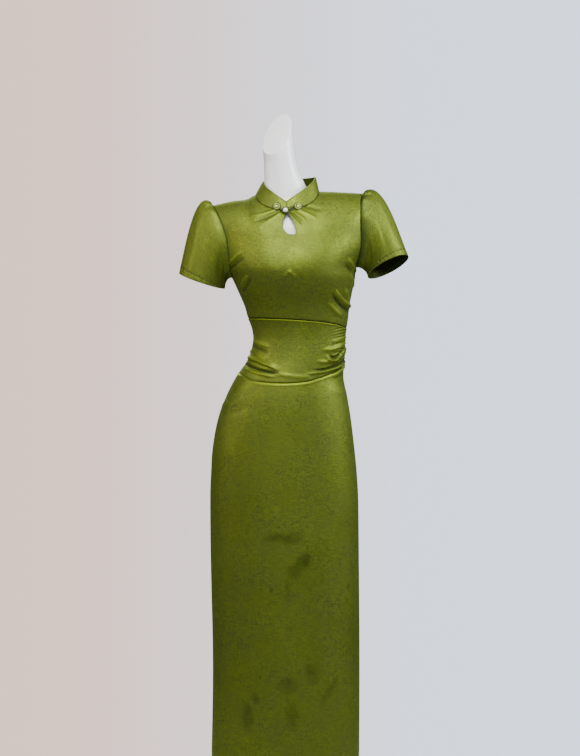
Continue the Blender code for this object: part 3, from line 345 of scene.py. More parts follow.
def makeRoom():
    world = bpy.data.worlds.new("studio")
    world.use_nodes = True
    tree = world.node_tree
    shown = tree.nodes["Background"]
    place = addNode(tree, "ShaderNodeTexCoord")
    split = addNode(tree, "ShaderNodeSeparateXYZ", {0: place.outputs["Generated"]})
    side = spread(tree, split.outputs[0], *room["edge"], kind="SMOOTHSTEP")
    tree.links.new(mixColour(tree, side, room["left"], room["right"]), shown.inputs["Color"])
    shown.inputs["Strength"].default_value = room["seen"]
    light = addNode(tree, "ShaderNodeBackground", {"Color": room["light"], "Strength": room["strength"]})
    path = addNode(tree, "ShaderNodeLightPath")
    both = addNode(tree, "ShaderNodeMixShader", {0: path.outputs["Is Camera Ray"]})
    tree.links.new(light.outputs[0], both.inputs[1])
    tree.links.new(shown.outputs[0], both.inputs[2])
    tree.links.new(both.outputs[0], tree.nodes["World Output"].inputs["Surface"])
    bpy.context.scene.world = world


def bevelEdges(bm, edges, offset, segments):
    bmesh.ops.bevel(bm, geom=edges, offset=offset, offset_type="OFFSET", segments=segments, profile=0.5,
                    affect="EDGES", material=-1)


def makeFloor():
    made, tree, shader, place = solidMaterial("paleFloor")
    noise = addNoise(tree, place, 2.2, 3.0).outputs[0]
    tree.links.new(mixColour(tree, noise, *floor["colours"]), shader.inputs["Base Color"])
    setSockets(shader, {"Roughness": 0.8})
    bm = bmesh.new()
    bmesh.ops.create_cone(bm, cap_ends=True, segments=160, radius1=floor["radius"], radius2=floor["radius"],
                          depth=0.02, matrix=Matrix.Translation((0.0, 0.0, -0.0105)))
    rim = [edge for edge in bm.edges if edge.verts[0].co.z > -0.002 and edge.verts[1].co.z > -0.002]
    bevelEdges(bm, rim, 0.006, 4)
    mesh = bpy.data.meshes.new("paleFloor")
    bm.to_mesh(mesh)
    bm.free()
    mesh.shade_smooth()
    mesh.set_sharp_from_angle(angle=math.radians(40))
    mesh.materials.append(made)
    stage = bpy.data.objects.new("paleFloor", mesh)
    bpy.context.scene.collection.objects.link(stage)


makeRoom()
makeFloor()
print("camera, lights, stage and materials ready")

seamGap = 0.0003
halfGap = seamGap / 2
sideRadius = 0.075
backRadius = 0.105

bodyShape = {
    # height, right side, left side, front depth, back depth of the cloth's outer face
    "sections": (
        (0.055, -0.1780, 0.1770, 0.116, 0.118), (0.300, -0.1745, 0.1780, 0.113, 0.118),
        (0.550, -0.1795, 0.1765, 0.110, 0.119), (0.700, -0.1810, 0.1748, 0.107, 0.122),
        (0.762, -0.1788, 0.1712, 0.106, 0.124), (0.820, -0.1750, 0.1655, 0.105, 0.123),
        (0.890, -0.1620, 0.1570, 0.103, 0.117), (0.942, -0.1430, 0.1485, 0.099, 0.106),
        (0.990, -0.1188, 0.1392, 0.092, 0.093), (1.033, -0.0900, 0.1425, 0.085, 0.082),
        (1.076, -0.0780, 0.1440, 0.081, 0.076), (1.105, -0.0806, 0.1466, 0.082, 0.076),
        (1.130, -0.0896, 0.1505, 0.086, 0.078), (1.160, -0.0984, 0.1536, 0.092, 0.083),
        (1.196, -0.1140, 0.1608, 0.102, 0.089), (1.227, -0.1285, 0.1670, 0.108, 0.094),
        (1.252, -0.1430, 0.1706, 0.110, 0.097), (1.300, -0.1650, 0.1990, 0.106, 0.100),
        (1.350, -0.1800, 0.2110, 0.098, 0.098), (1.400, -0.1940, 0.2130, 0.088, 0.090),
        (1.450, -0.2000, 0.2140, 0.080, 0.084),
    ),
    # x and height of the shoulder seam
    "ridge": (
        (-0.2050, 1.394), (-0.1740, 1.402), (-0.1270, 1.412), (-0.0950, 1.416), (-0.0735, 1.426),
        (0.0000, 1.436), (0.0815, 1.435), (0.1150, 1.434), (0.1836, 1.430), (0.2200, 1.426),
    ),
    "ridgeCentre": 0.008, "ridgeHalf": 0.206, "roundAtTip": 0.045, "roundAtNeck": 0.110,
    # x, height and rise of the bust
    "bust": ((-0.052, 1.240, 0.0200), (0.092, 1.252, 0.0200)),
    "bustSpread": (0.055, 0.048),
    "sideFade": 0.12,
}
armholes = {
    "right": ((1.227, -0.1285), (1.245, -0.1310), (1.280, -0.1346), (1.323, -0.1404), (1.371, -0.1570),
              (1.402, -0.1740)),
    "left": ((1.252, 0.1706), (1.270, 0.1730), (1.307, 0.1795), (1.350, 0.1790), (1.410, 0.1790),
             (1.430, 0.1836)),
}
bandSeams = {
    "top": ((-0.0900, 1.1290), (-0.0660, 1.1288), (0.0180, 1.1252), (0.0920, 1.1192), (0.1300, 1.1120),
            (0.1480, 1.1050)),
    "bottom": ((-0.1130, 1.0000), (-0.0840, 0.9848), (-0.0624, 0.9776), (-0.0036, 0.9738), (0.0492, 0.9776),
               (0.0804, 0.9862), (0.1140, 0.9992), (0.1404, 1.0136)),
}

# Folds: three points (x, z) of the crest from its free end, half width, rise, and lean (-1 to 1: which
# side is steeper)
folds = {"front": (
    # waistband, right side: one deep crease with a ridge above and finer ones round it
    (-0.010, 0.996, -0.058, 1.000, -0.096, 1.020, 0.0026, -0.0050, 0.6),
    (-0.012, 1.004, -0.052, 1.020, -0.090, 1.036, 0.0046, 0.0046, 0.5),
    (-0.036, 1.044, -0.060, 1.053, -0.078, 1.062, 0.0045, -0.0020, 0.0),
    (-0.034, 1.060, -0.056, 1.066, -0.074, 1.074, 0.0050, 0.0016, 0.0),
    (-0.020, 0.989, -0.056, 0.992, -0.092, 1.007, 0.0036, 0.0026, 0.2),
    (-0.030, 1.000, 0.010, 0.990, 0.052, 0.990, 0.0050, 0.0014, 0.2),
    # waistband, left side: gathers caught in the side seam
    (0.098, 1.046, 0.108, 1.006, 0.143, 1.060, 0.0027, 0.0062, 0.6),
    (0.104, 1.046, 0.118, 1.018, 0.143, 1.066, 0.0026, -0.0046, 0.2),
    (0.040, 0.997, 0.106, 1.000, 0.141, 1.023, 0.0030, 0.0044, 0.4),
    (0.060, 1.006, 0.108, 1.004, 0.141, 1.029, 0.0026, -0.0050, 0.2),
    (0.104, 0.990, 0.128, 0.996, 0.141, 1.018, 0.0026, 0.0034, 0.3),
    (0.108, 1.000, 0.128, 1.004, 0.141, 1.022, 0.0022, -0.0024, 0.0),
    (0.084, 1.056, 0.112, 1.050, 0.142, 1.070, 0.0048, 0.0026, 0.2),
    (0.070, 1.028, 0.092, 1.022, 0.122, 1.030, 0.0044, 0.0020, 0.0),
    (0.106, 1.074, 0.124, 1.074, 0.143, 1.084, 0.0040, 0.0016, 0.0),
    # bodice: drag from the bust to the side seams
    (0.118, 1.202, 0.131, 1.172, 0.153, 1.160, 0.0046, 0.0054, 0.5),
    (0.110, 1.192, 0.125, 1.162, 0.148, 1.150, 0.0056, -0.0040, 0.0),
    (0.145, 1.204, 0.147, 1.184, 0.151, 1.166, 0.0040, 0.0034, 0.3),
    (0.099, 1.172, 0.112, 1.150, 0.132, 1.138, 0.0050, 0.0022, 0.0),
    (0.148, 1.276, 0.160, 1.256, 0.168, 1.244, 0.0042, 0.0034, 0.3),
    (0.140, 1.262, 0.152, 1.246, 0.164, 1.232, 0.0046, -0.0022, 0.0),
    (0.160, 1.248, 0.161, 1.228, 0.163, 1.208, 0.0042, 0.0026, 0.2),
    (-0.089, 1.234, -0.096, 1.222, -0.104, 1.208, 0.0040, 0.0026, 0.0),
    (-0.082, 1.226, -0.089, 1.212, -0.097, 1.196, 0.0040, -0.0022, 0.0),
    (-0.100, 1.290, -0.118, 1.276, -0.131, 1.262, 0.0044, 0.0026, 0.2),
    (-0.096, 1.276, -0.112, 1.262, -0.128, 1.250, 0.0040, -0.0018, 0.0),
    (-0.006, 1.224, 0.001, 1.233, 0.009, 1.239, 0.0040, 0.0014, 0.2),
    (0.026, 1.224, 0.018, 1.233, 0.009, 1.239, 0.0040, 0.0014, 0.2),
    # drag from the closure
    (-0.096, 1.372, -0.060, 1.376, -0.026, 1.387, 0.0034, 0.0022, 0.3),
    (-0.080, 1.360, -0.050, 1.366, -0.022, 1.383, 0.0036, -0.0020, 0.0),
    (-0.066, 1.350, -0.040, 1.360, -0.016, 1.380, 0.0028, 0.0014, 0.2),
    (0.052, 1.356, 0.034, 1.376, 0.010, 1.385, 0.0026, 0.0024, 0.4),
    (0.044, 1.350, 0.030, 1.368, 0.012, 1.381, 0.0026, -0.0022, 0.0),
    (0.078, 1.364, 0.058, 1.376, 0.032, 1.387, 0.0032, 0.0022, 0.3),
    (0.092, 1.386, 0.066, 1.394, 0.044, 1.398, 0.0045, -0.0014, 0.0),
    # skirt: pull across the hips
    (0.100, 0.962, 0.128, 0.950, 0.152, 0.954, 0.0056, 0.0009, 0.2),
    (-0.096, 0.940, -0.120, 0.926, -0.150, 0.922, 0.0060, 0.0020, 0.2),
    (-0.084, 0.920, -0.116, 0.904, -0.152, 0.898, 0.0060, -0.0014, 0.0),
), "back": (
    # hidden sides: the same kinds of folds
    (0.100, 1.040, 0.120, 1.016, 0.139, 1.052, 0.0048, 0.0046, 0.4),
    (0.070, 1.002, 0.112, 1.006, 0.139, 1.026, 0.0046, 0.0040, 0.3),
    (0.084, 1.014, 0.116, 1.014, 0.138, 1.036, 0.0040, -0.0030, 0.0),
    (0.088, 1.062, 0.112, 1.054, 0.140, 1.074, 0.0050, 0.0022, 0.2),
    (-0.022, 1.006, -0.058, 1.014, -0.086, 1.034, 0.0048, -0.0036, 0.3),
    (-0.022, 1.022, -0.056, 1.038, -0.082, 1.050, 0.0050, 0.0034, 0.3),
    (-0.034, 1.052, -0.058, 1.058, -0.078, 1.066, 0.0050, -0.0016, 0.0),
    (0.106, 1.190, 0.126, 1.168, 0.151, 1.158, 0.0050, 0.0034, 0.3),
    (0.098, 1.178, 0.120, 1.156, 0.146, 1.146, 0.0050, -0.0022, 0.0),
    (-0.060, 1.150, -0.078, 1.160, -0.098, 1.180, 0.0060, 0.0024, 0.2),
    (-0.100, 1.290, -0.118, 1.276, -0.131, 1.262, 0.0048, 0.0022, 0.2),
    (0.142, 1.290, 0.156, 1.274, 0.168, 1.258, 0.0048, 0.0024, 0.2),
    (0.014, 1.130, 0.040, 1.140, 0.070, 1.136, 0.0060, 0.0018, 0.0),
)}

# Long soft waves of the hanging cloth: x, low z, high z, half width, rise
drape = {
    "front": ((-0.105, 0.06, 0.66, 0.030, 0.0016), (0.060, 0.06, 0.60, 0.034, 0.0014),
              (-0.020, 0.06, 0.48, 0.030, -0.0012), (0.125, 0.10, 0.70, 0.022, -0.0010)),
    "back": ((-0.085, 0.06, 0.66, 0.030, 0.0018), (0.040, 0.06, 0.62, 0.030, -0.0014),
             (0.110, 0.06, 0.58, 0.026, 0.0016), (-0.020, 0.06, 0.52, 0.030, 0.0012)),
}
# painted shade in the folds' troughs and painted highlight on their crests: how strongly, the darkest trough
# and the palest crest
paintedFolds = {"tone": 130.0, "darkest": -0.62, "palest": 0.24}


def mix(a, b, share):
    return a + (b - a) * share


def ease(value):
    value = np.clip(value, 0.0, 1.0)
    return value * value * (3.0 - 2.0 * value)


# 1 on a line, falling away to both sides of it
def bell(distance, wide):
    return np.exp(-(distance / wide) ** 2)


def readTable(rows, at, column):
    keys = np.array([row[0] for row in rows], float)
    values = np.array([row[column] for row in rows], float)
    at = np.clip(np.asarray(at, float), keys[0], keys[-1])
    low = np.clip(np.searchsorted(keys, at) - 1, 0, len(keys) - 2)
    high = low + 1
    before = np.maximum(low - 1, 0)
    after = np.minimum(low + 2, len(keys) - 1)
    span = keys[high] - keys[low]
    share = (at - keys[low]) / span
    level = values[high] == values[low]
    slopeLow = np.where(level, 0.0, (values[high] - values[before]) / (keys[high] - keys[before]))
    slopeHigh = np.where(level, 0.0, (values[after] - values[low]) / (keys[after] - keys[low]))
    square = share * share
    cube = square * share
    value = (2 * cube - 3 * square + 1) * values[low] + (cube - 2 * square + share) * span * slopeLow
    return value + (3 * square - 2 * cube) * values[high] + (cube - square) * span * slopeHigh


def sideLines(z):
    return readTable(bodyShape["sections"], z, 1), readTable(bodyShape["sections"], z, 2)


def roundSize(turn):
    return mix(bodyShape["roundAtTip"], bodyShape["roundAtNeck"], np.sin(turn) ** 2)


def ridgeHeight(turn):
    return readTable(bodyShape["ridge"], bodyShape["ridgeCentre"] + bodyShape["ridgeHalf"] * np.cos(turn), 1)


# Tape height runs up the cloth: it equals z until the shoulder starts to round over
def splitTape(turn, tape):
    size = roundSize(turn)
    start = ridgeHeight(turn) - size
    bend = np.clip((tape - start) / size, 0.0, math.pi / 2)
    return np.where(tape > start, start + size * np.sin(bend), tape), np.cos(bend)


def ridgeTape(turn):
    size = roundSize(turn)
    return ridgeHeight(turn) - size + size * math.pi / 2


def smoothPoint(turn, tape):
    turn, tape = np.broadcast_arrays(np.asarray(turn, float), np.asarray(tape, float))
    z, level = splitTape(turn, tape)
    right, left = sideLines(z)
    x = (right + left) / 2 + (left - right) / 2 * np.cos(turn)
    swing = np.sin(turn)
    rise = np.zeros_like(x)
    wide, tall = bodyShape["bustSpread"]
    for centre, height, up in bodyShape["bust"]:
        rise = rise + up * np.exp(-0.5 * (((x - centre) / wide) ** 2 + ((z - height) / tall) ** 2))
    front = readTable(bodyShape["sections"], z, 3) * swing * level
    front = front - rise * np.minimum(1.0, -2.0 * swing) * level
    back = readTable(bodyShape["sections"], z, 4) * swing * level
    return np.stack((x, np.where(swing < 0, front, back), z), -1)


def unit(vectors):
    return vectors / np.maximum(np.linalg.norm(vectors, axis=-1, keepdims=True), 1e-12)


def smoothNormal(turn, tape):
    step = 0.002
    across = smoothPoint(turn + step, tape) - smoothPoint(turn - step, tape)
    up = smoothPoint(turn, tape) - smoothPoint(turn, tape - step)
    return unit(np.cross(across, up))


# Height of all folds of one side at x, z: each crest is a curve with one side steeper
def foldRise(side, x, z):
    total = np.zeros_like(x)
    steps = np.linspace(0.0, 1.0, 25)
    for x0, z0, x1, z1, x2, z2, wide, rise, lean in folds[side]:
        near = ((np.minimum(min(x0, x2), x1) - 4 * wide < x) & (x < max(x0, x1, x2) + 4 * wide)
                & (min(z0, z1, z2) - 4 * wide < z) & (z < max(z0, z1, z2) + 4 * wide))
        if not near.any():
            continue
        px = (1 - steps) ** 2 * x0 + 2 * steps * (1 - steps) * x1 + steps ** 2 * x2
        pz = (1 - steps) ** 2 * z0 + 2 * steps * (1 - steps) * z1 + steps ** 2 * z2
        dx = x[near][:, None] - px
        dz = z[near][:, None] - pz
        far = np.hypot(dx, dz)
        nearest = far.argmin(axis=1)
        pick = np.arange(len(nearest))
        tx = np.gradient(px)[nearest]
        tz = np.gradient(pz)[nearest]
        aside = (dx[pick, nearest] * tz - dz[pick, nearest] * tx) / np.hypot(tx, tz)
        width = wide * (1.0 + lean * np.tanh(aside / wide * 1.5))
        fade = ease(steps[nearest] / 0.35)
        total[near] += rise * fade * bell(far[pick, nearest], width)
    for at, low, high, wide, rise in drape[side]:
        reach = ease((high - z) / 0.25) * ease((z - low) / 0.05 + 1.0)
        total += rise * reach * bell(x - at, wide)
    return total


def foldsAt(turn, point):
    x, z = point[..., 0], point[..., 2]
    return np.where(np.sin(turn) > 0, foldRise("back", x, z), foldRise("front", x, z))


def bodyPoint(turn, tape, extra=0.0):
    turn, tape = np.broadcast_arrays(np.asarray(turn, float), np.asarray(tape, float))
    point = smoothPoint(turn, tape)
    rise = foldsAt(turn, point) * ease(np.abs(np.sin(turn)) / bodyShape["sideFade"]) + extra
    return point + smoothNormal(turn, tape) * rise[..., None]


# Painted highlight on the folds' crests and painted shade in their troughs
def paintedFoldShading(turn, tape):
    tone = foldsAt(turn, smoothPoint(turn, tape)) * paintedFolds["tone"]
    return np.clip(tone, paintedFolds["darkest"], paintedFolds["palest"])


def turnAt(x, tape, back):
    x = np.asarray(x, float)
    turn = np.full(np.broadcast(x, tape).shape, math.pi / 2 if back else -math.pi / 2)
    for _ in range(12):
        right, left = sideLines(splitTape(turn, tape)[0])
        found = np.arccos(np.clip((x - (right + left) / 2) / ((left - right) / 2), -1.0, 1.0))
        turn = found if back else -found
    return turn


def armholeEdge(side, back, rows):
    table = armholes[side]
    endTurn = float(turnAt(table[-1][1], 1.5, back))
    tape = np.linspace(table[0][0], float(ridgeTape(endTurn)), rows + 1)
    turn = np.full(rows + 1, endTurn)
    for _ in range(10):
        turn = turnAt(readTable(table, splitTape(turn, tape)[0], 1), tape, back)
    turn[0] = (math.pi if side == "right" else 0.0) * (1 if back else -1)
    return np.stack((turn, np.minimum(tape, ridgeTape(turn))), -1)


collarShape = {
    "neckX": 0.004, "neckHalf": 0.0775, "neckFront": 0.0746, "neckFrontPower": 0.6, "neckBack": 0.052,
    "topX": 0.009, "topHalf": 0.064, "topFront": 0.0660, "topLean": 0.0078, "topBack": 0.047,
    "topRight": 1.459, "topLeft": 1.470, "dip": 1.4096, "dipPower": 1.28, "wall": 0.0022,
}


def neckEdge(back, angles):
    depth = collarShape["neckBack" if back else "neckFront"]
    angles = np.asarray(angles, float)
    x = collarShape["neckX"] + collarShape["neckHalf"] * np.cos(angles)
    y = depth * np.abs(np.sin(angles)) ** (1.0 if back else collarShape["neckFrontPower"])
    turn = turnAt(x, 1.42, back)
    tape = ridgeTape(turn)
    for _ in range(16):
        z = splitTape(turn, tape)[0]
        full = np.maximum(readTable(bodyShape["sections"], z, 4 if back else 3) * np.abs(np.sin(turn)), 1e-6)
        size = roundSize(turn)
        tape = ridgeHeight(turn) - size + size * np.arccos(np.clip(y / full, 0.0, 1.0))
        turn = turnAt(x, tape, back)
    return np.stack((turn, np.minimum(tape, ridgeTape(turn) - halfGap)), -1)


def bandSeam(which, turn):
    rows = bandSeams[which]
    turn = np.asarray(turn, float)
    tape = np.full(turn.shape, 1.05)
    for _ in range(10):
        tape = readTable(rows, smoothPoint(turn, tape)[..., 0], 1)
    share = (1 + np.cos(turn)) / 2
    return np.where(np.sin(turn) <= 0, tape, mix(rows[0][1], rows[-1][1], share))


# A patch between four edges given in turn and tape height
def patch(bottom, top, first, last):
    u = np.linspace(0.0, 1.0, len(bottom))[None, :, None]
    v = np.linspace(0.0, 1.0, len(first))[:, None, None]
    grid = mix(first[:, None, :], last[:, None, :], u) + mix(bottom[None], top[None], v)
    low = mix(first[0], last[0], u)
    high = mix(first[-1], last[-1], u)
    return grid - mix(low, high, v)


# Spreads the inner spots evenly, so that no cell folds over beside the neck
def evenOut(grid, steps):
    for _ in range(steps):
        around = grid[:-2, 1:-1] + grid[2:, 1:-1] + grid[1:-1, :-2] + grid[1:-1, 2:]
        grid[1:-1, 1:-1] = around / 4
    return grid


def finishMesh(name, bm, material, body="dress", sharp=50):
    mesh = bpy.data.meshes.new(name)
    bm.to_mesh(mesh)
    bm.free()
    mesh.shade_smooth()
    mesh.set_sharp_from_angle(angle=math.radians(sharp))
    mesh.materials.append(material)
    made = bpy.data.objects.new(name, mesh)
    bpy.context.scene.collection.objects.link(made)
    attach(made, body)
    return made


def lengths(points):
    across = np.linalg.norm(np.diff(points, axis=1), axis=-1)
    up = np.linalg.norm(np.diff(points, axis=0), axis=-1)
    u = np.concatenate((np.zeros((points.shape[0], 1)), np.cumsum(across, axis=1)), axis=1)
    v = np.concatenate((np.zeros((1, points.shape[1])), np.cumsum(up, axis=0)), axis=0)
    u = u - u[:, [points.shape[1] // 2]]
    return u, v


# A grid of faces laid on rows of points, and the point that each vertex has
def gridMesh(points):
    rows, cells = points.shape[0] - 1, points.shape[1] - 1
    bm = bmesh.new()
    bmesh.ops.create_grid(bm, x_segments=cells, y_segments=rows, size=0.5)
    bm.verts.ensure_lookup_table()
    spots = [(round((vert.co.y + 0.5) * rows), round((vert.co.x + 0.5) * cells)) for vert in bm.verts]
    for vert, spot in zip(bm.verts, spots):
        vert.co = points[spot]
    return bm, spots


# The grid's own flat measure as its UV map
def measure(bm, points, spots):
    u, v = lengths(points)
    uvs = bm.loops.layers.uv.new("cloth")
    for face in bm.faces:
        for loop in face.loops:
            spot = spots[loop.vert.index]
            loop[uvs].uv = (u[spot], v[spot])


# A sheet laid on its points and walled inwards
def clothPiece(name, points, wall, outward, paintedShading, bloom=None, closed=False):
    bm, spots = gridMesh(points)
    measure(bm, points, spots)
    flower = bm.verts.layers.float.new("bloom")
    # painted shade and painted highlight for the material
    paintedShadingLayer = bm.verts.layers.float.new("paintedShading")
    for vert, spot in zip(bm.verts, spots):
        vert[flower] = 0.0 if bloom is None else bloom[spot]
        vert[paintedShadingLayer] = paintedShading[spot]
    middle = min(bm.faces, key=lambda face: (face.calc_center_median() - Vector(outward[0])).length)
    middle.normal_update()
    if middle.normal.dot(Vector(outward[1])) < 0:
        bmesh.ops.reverse_faces(bm, faces=bm.faces[:])
    if closed:
        bmesh.ops.remove_doubles(bm, verts=bm.verts[:], dist=0.00001)
    made = finishMesh(name, bm, satin, sharp=60)
    made.data.materials.append(satinBack)
    shell = made.modifiers.new("wall", "SOLIDIFY")
    shell.thickness = wall
    shell.offset = -1.0
    shell.material_offset = 1
    return made


def outwardAt(points, normals):
    row, cell = points.shape[0] // 2, points.shape[1] // 2
    return points[row, cell], normals[row, cell]


clothWall = 0.0017
detail = {"belowArm": 49, "armhole": 96, "shoulder": 35, "neckFront": 98, "neckBack": 45, "evenSteps": 1500,
          "bandRows": 104, "bandRound": 250, "skirtRows": 160, "round": 220, "roundBack": 110,
          "sleeveRows": 70, "collarRows": 26, "collarFront": 90, "collarBack": 60}
# heights of the skirt's hem and its stitches, and how far in the other rows of stitches run
hems = {"skirt": 0.055, "skirtStitches": 0.085, "sleeveStitches": 0.019, "collarStitches": 0.0032}
# what a seam or a row of stitches does to the cloth beside it: its rise or its tone, then the half width; the
# tone is a painted highlight where it is above 0 and painted shade where it is below
seams = {
    "bodiceEdge": {"rise": (-0.0011, 0.0034), "tone": (-0.9, 0.0024)},
    "bandTop": {"rise": (0.0012, 0.0028), "tone": (1.1, 0.0022)},
    "bandBottom": {"rise": (-0.0010, 0.0030), "tone": (-0.8, 0.0018)},
    "skirtTop": {"rise": (0.0013, 0.0028), "tone": (1.1, 0.0022)},
    "skirtHem": {"rise": (-0.0005, 0.0016)},
    "sleeveTop": {"rise": (-0.0007, 0.0022)},
    "sleeveHem": {"rise": (-0.0006, 0.0014), "tone": (-0.5, 0.0012)},
    "collarFoot": {"rise": (-0.0005, 0.0018), "tone": (-0.9, 0.0022)},
    "collarStitches": {"rise": (-0.0004, 0.0010), "tone": (-0.4, 0.0009)},
    "collarRoll": {"tone": (0.5, 0.0016)},
}


# Seams press a narrow ditch into one panel and leave the other one standing as a welt; their tone is a painted
# highlight where above 0 and painted shade where below
def seamEffect(seam, kind, distance):
    amount, wide = seams[seam][kind]
    return amount * bell(distance, wide)


def bodiceSide(side, back):
    turn = math.pi if side == "right" else 0.0
    inset = halfGap / sideRadius
    seamTurn = (turn - inset if side == "right" else inset) * (1 if back else -1)
    low = float(bandSeam("top", turn)) + halfGap
    tape = np.linspace(low, armholes[side][0][0], detail["belowArm"] + 1)[:-1]
    edge = np.stack((np.full(len(tape), seamTurn), tape), -1)
    arm = armholeEdge(side, back, detail["armhole"])
    arm[0, 0] = seamTurn
    arm[-1, 1] -= halfGap
    return np.concatenate((edge, arm))


def shoulderEdge(start, end, cells):
    turn = np.linspace(start[0], end[0], cells + 1)
    return np.stack((turn, ridgeTape(turn) - halfGap), -1)


# A panel in place of its CAD solid
def layPanel(name, node, turn, tape, points, paintedShading, bloom=None):
    made = clothPiece(name, points, clothWall, outwardAt(points, smoothNormal(turn, tape)), paintedShading, bloom)
    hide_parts(node)
    return made


def layBodice(name, node, first, last, top):
    turns = np.linspace(first[0, 0], last[0, 0], len(top))
    bottom = np.stack((turns, bandSeam("top", turns) + halfGap), -1)
    grid = evenOut(patch(bottom, top, first, last), detail["evenSteps"])
    turn, tape = grid[..., 0], grid[..., 1]
    above = tape - bandSeam("top", turn)
    points = bodyPoint(turn, tape, seamEffect("bodiceEdge", "rise", above))
    # painted shade and highlight of the folds, and a painted dark line along the bottom edge
    paintedShading = paintedFoldShading(turn, tape) + seamEffect("bodiceEdge", "tone", above)
    return layPanel(name, node, turn, tape, points, paintedShading)


def bodiceFront():
    first = bodiceSide("right", False)
    last = bodiceSide("left", False)
    neck = neckEdge(False, np.linspace(math.pi, 2 * math.pi, detail["neckFront"] + 1))
    top = np.concatenate((shoulderEdge(first[-1], neck[0], detail["shoulder"])[:-1], neck,
                          shoulderEdge(neck[-1], last[-1], detail["shoulder"])[1:]))
    top[0], top[-1] = first[-1], last[-1]
    return layBodice("frontBodice", "bodice_front", first, last, top)


def bodiceBack(side):
    left = side == "left"
    armside = bodiceSide(side, True)
    start = 0.0 if left else math.pi / 2
    neck = neckEdge(True, np.linspace(start, start + math.pi / 2, detail["neckBack"] + 1))
    middleTurn = math.pi / 2 - (1 if left else -1) * halfGap / backRadius
    end = -1 if left else 0
    neck[end, 0] = middleTurn
    low = float(bandSeam("top", middleTurn)) + halfGap
    middle = np.stack((np.full(len(armside), middleTurn), np.linspace(low, neck[end, 1], len(armside))), -1)
    name, node = "backBodice" + side.title(), "bodice_back_" + side
    if left:
        top = np.concatenate((shoulderEdge(armside[-1], neck[0], detail["shoulder"])[:-1], neck))
        top[0] = armside[-1]
        layBodice(name, node, armside, middle, top)
    else:
        top = np.concatenate((neck, shoulderEdge(neck[-1], armside[-1], detail["shoulder"])[1:]))
        top[-1] = armside[-1]
        layBodice(name, node, middle, armside, top)


panelEnds = {
    "front": (-math.pi + halfGap / sideRadius, -halfGap / sideRadius),
    "back_left": (halfGap / sideRadius, math.pi / 2 - halfGap / backRadius),
    "back_right": (math.pi / 2 + halfGap / backRadius, math.pi - halfGap / sideRadius),
}


def panelTurns(piece, frontCells):
    cells = frontCells if piece == "front" else detail["roundBack"]
    return np.linspace(*panelEnds[piece], cells + 1)


# The front's bottom band seam sinks into the cloth towards the right hip
hipSeam = {"least": 0.12, "from": -0.088, "over": 0.034}


def seamShown(turn, tape):
    x = smoothPoint(turn, tape)[..., 0]
    shown = mix(hipSeam["least"], 1.0, ease((x - hipSeam["from"]) / hipSeam["over"]))
    return np.where(np.sin(turn) < 0, shown, 1.0)


def title(start, piece):
    return start + piece.replace("_", " ").title().replace(" ", "")


# fine gathers that fan out of the left side seam
gathers = {"from": 0.100, "over": 0.05, "rise": 0.0006, "slant": 0.25, "waves": 900.0}


def waistband(piece):
    turns = panelTurns(piece, detail["bandRound"])
    low, high = bandSeam("bottom", turns) + halfGap, bandSeam("top", turns) - halfGap
    share = np.linspace(0.0, 1.0, detail["bandRows"] + 1)[:, None]
    tape = mix(low[None], high[None], share)
    turn = np.broadcast_to(turns[None], tape.shape)
    shown = seamShown(turns, low)[None]
    below, above = high[None] - tape, tape - low[None]
    extra = seamEffect("bandTop", "rise", below) + seamEffect("bandBottom", "rise", above) * shown
    point = smoothPoint(turn, tape)
    gather = ease((point[..., 0] - gathers["from"]) / gathers["over"]) * gathers["rise"]
    extra = extra + gather * np.sin((point[..., 2] - gathers["slant"] * point[..., 0]) * gathers["waves"])
    # painted shade and highlight of the folds, a painted highlight along the top edge and painted shade along
    # the bottom edge
    paintedShading = paintedFoldShading(turn, tape) + seamEffect("bandTop", "tone", below)
    paintedShading = paintedShading + seamEffect("bandBottom", "tone", above) * shown
    layPanel(title("waistband", piece), "waistband_" + piece, turn, tape, bodyPoint(turn, tape, extra), paintedShading)


# darker woven leaves and specks on the skirt: x, z, half width, half height, slant, depth
skirtSprays = (
    (-0.022, 0.607, 0.027, 0.011, 0.1, 0.50), (0.018, 0.606, 0.026, 0.013, 0.5, 0.58),
    (0.044, 0.551, 0.021, 0.017, 0.6, 0.66), (0.020, 0.527, 0.018, 0.016, -0.2, 0.44),
    (0.006, 0.480, 0.007, 0.038, 0.0, 0.20), (-0.034, 0.482, 0.006, 0.005, 0.0, 0.55),
    (-0.030, 0.452, 0.010, 0.004, 0.1, 0.25), (-0.035, 0.412, 0.006, 0.007, 0.0, 0.32),
    (0.012, 0.392, 0.012, 0.005, 0.2, 0.26), (0.006, 0.255, 0.024, 0.020, 0.1, 0.46),
    (0.064, 0.284, 0.017, 0.024, 0.2, 0.40), (0.104, 0.238, 0.010, 0.036, -0.5, 0.34),
    (0.016, 0.182, 0.017, 0.036, 0.1, 0.34), (-0.090, 0.180, 0.014, 0.030, 0.1, 0.55),
    (-0.070, 0.224, 0.008, 0.014, 0.4, 0.38), (-0.061, 0.276, 0.004, 0.004, 0.0, 0.55),
    (0.150, 0.490, 0.005, 0.008, 0.0, 0.45), (0.110, 0.665, 0.010, 0.008, 0.5, 0.25),
)


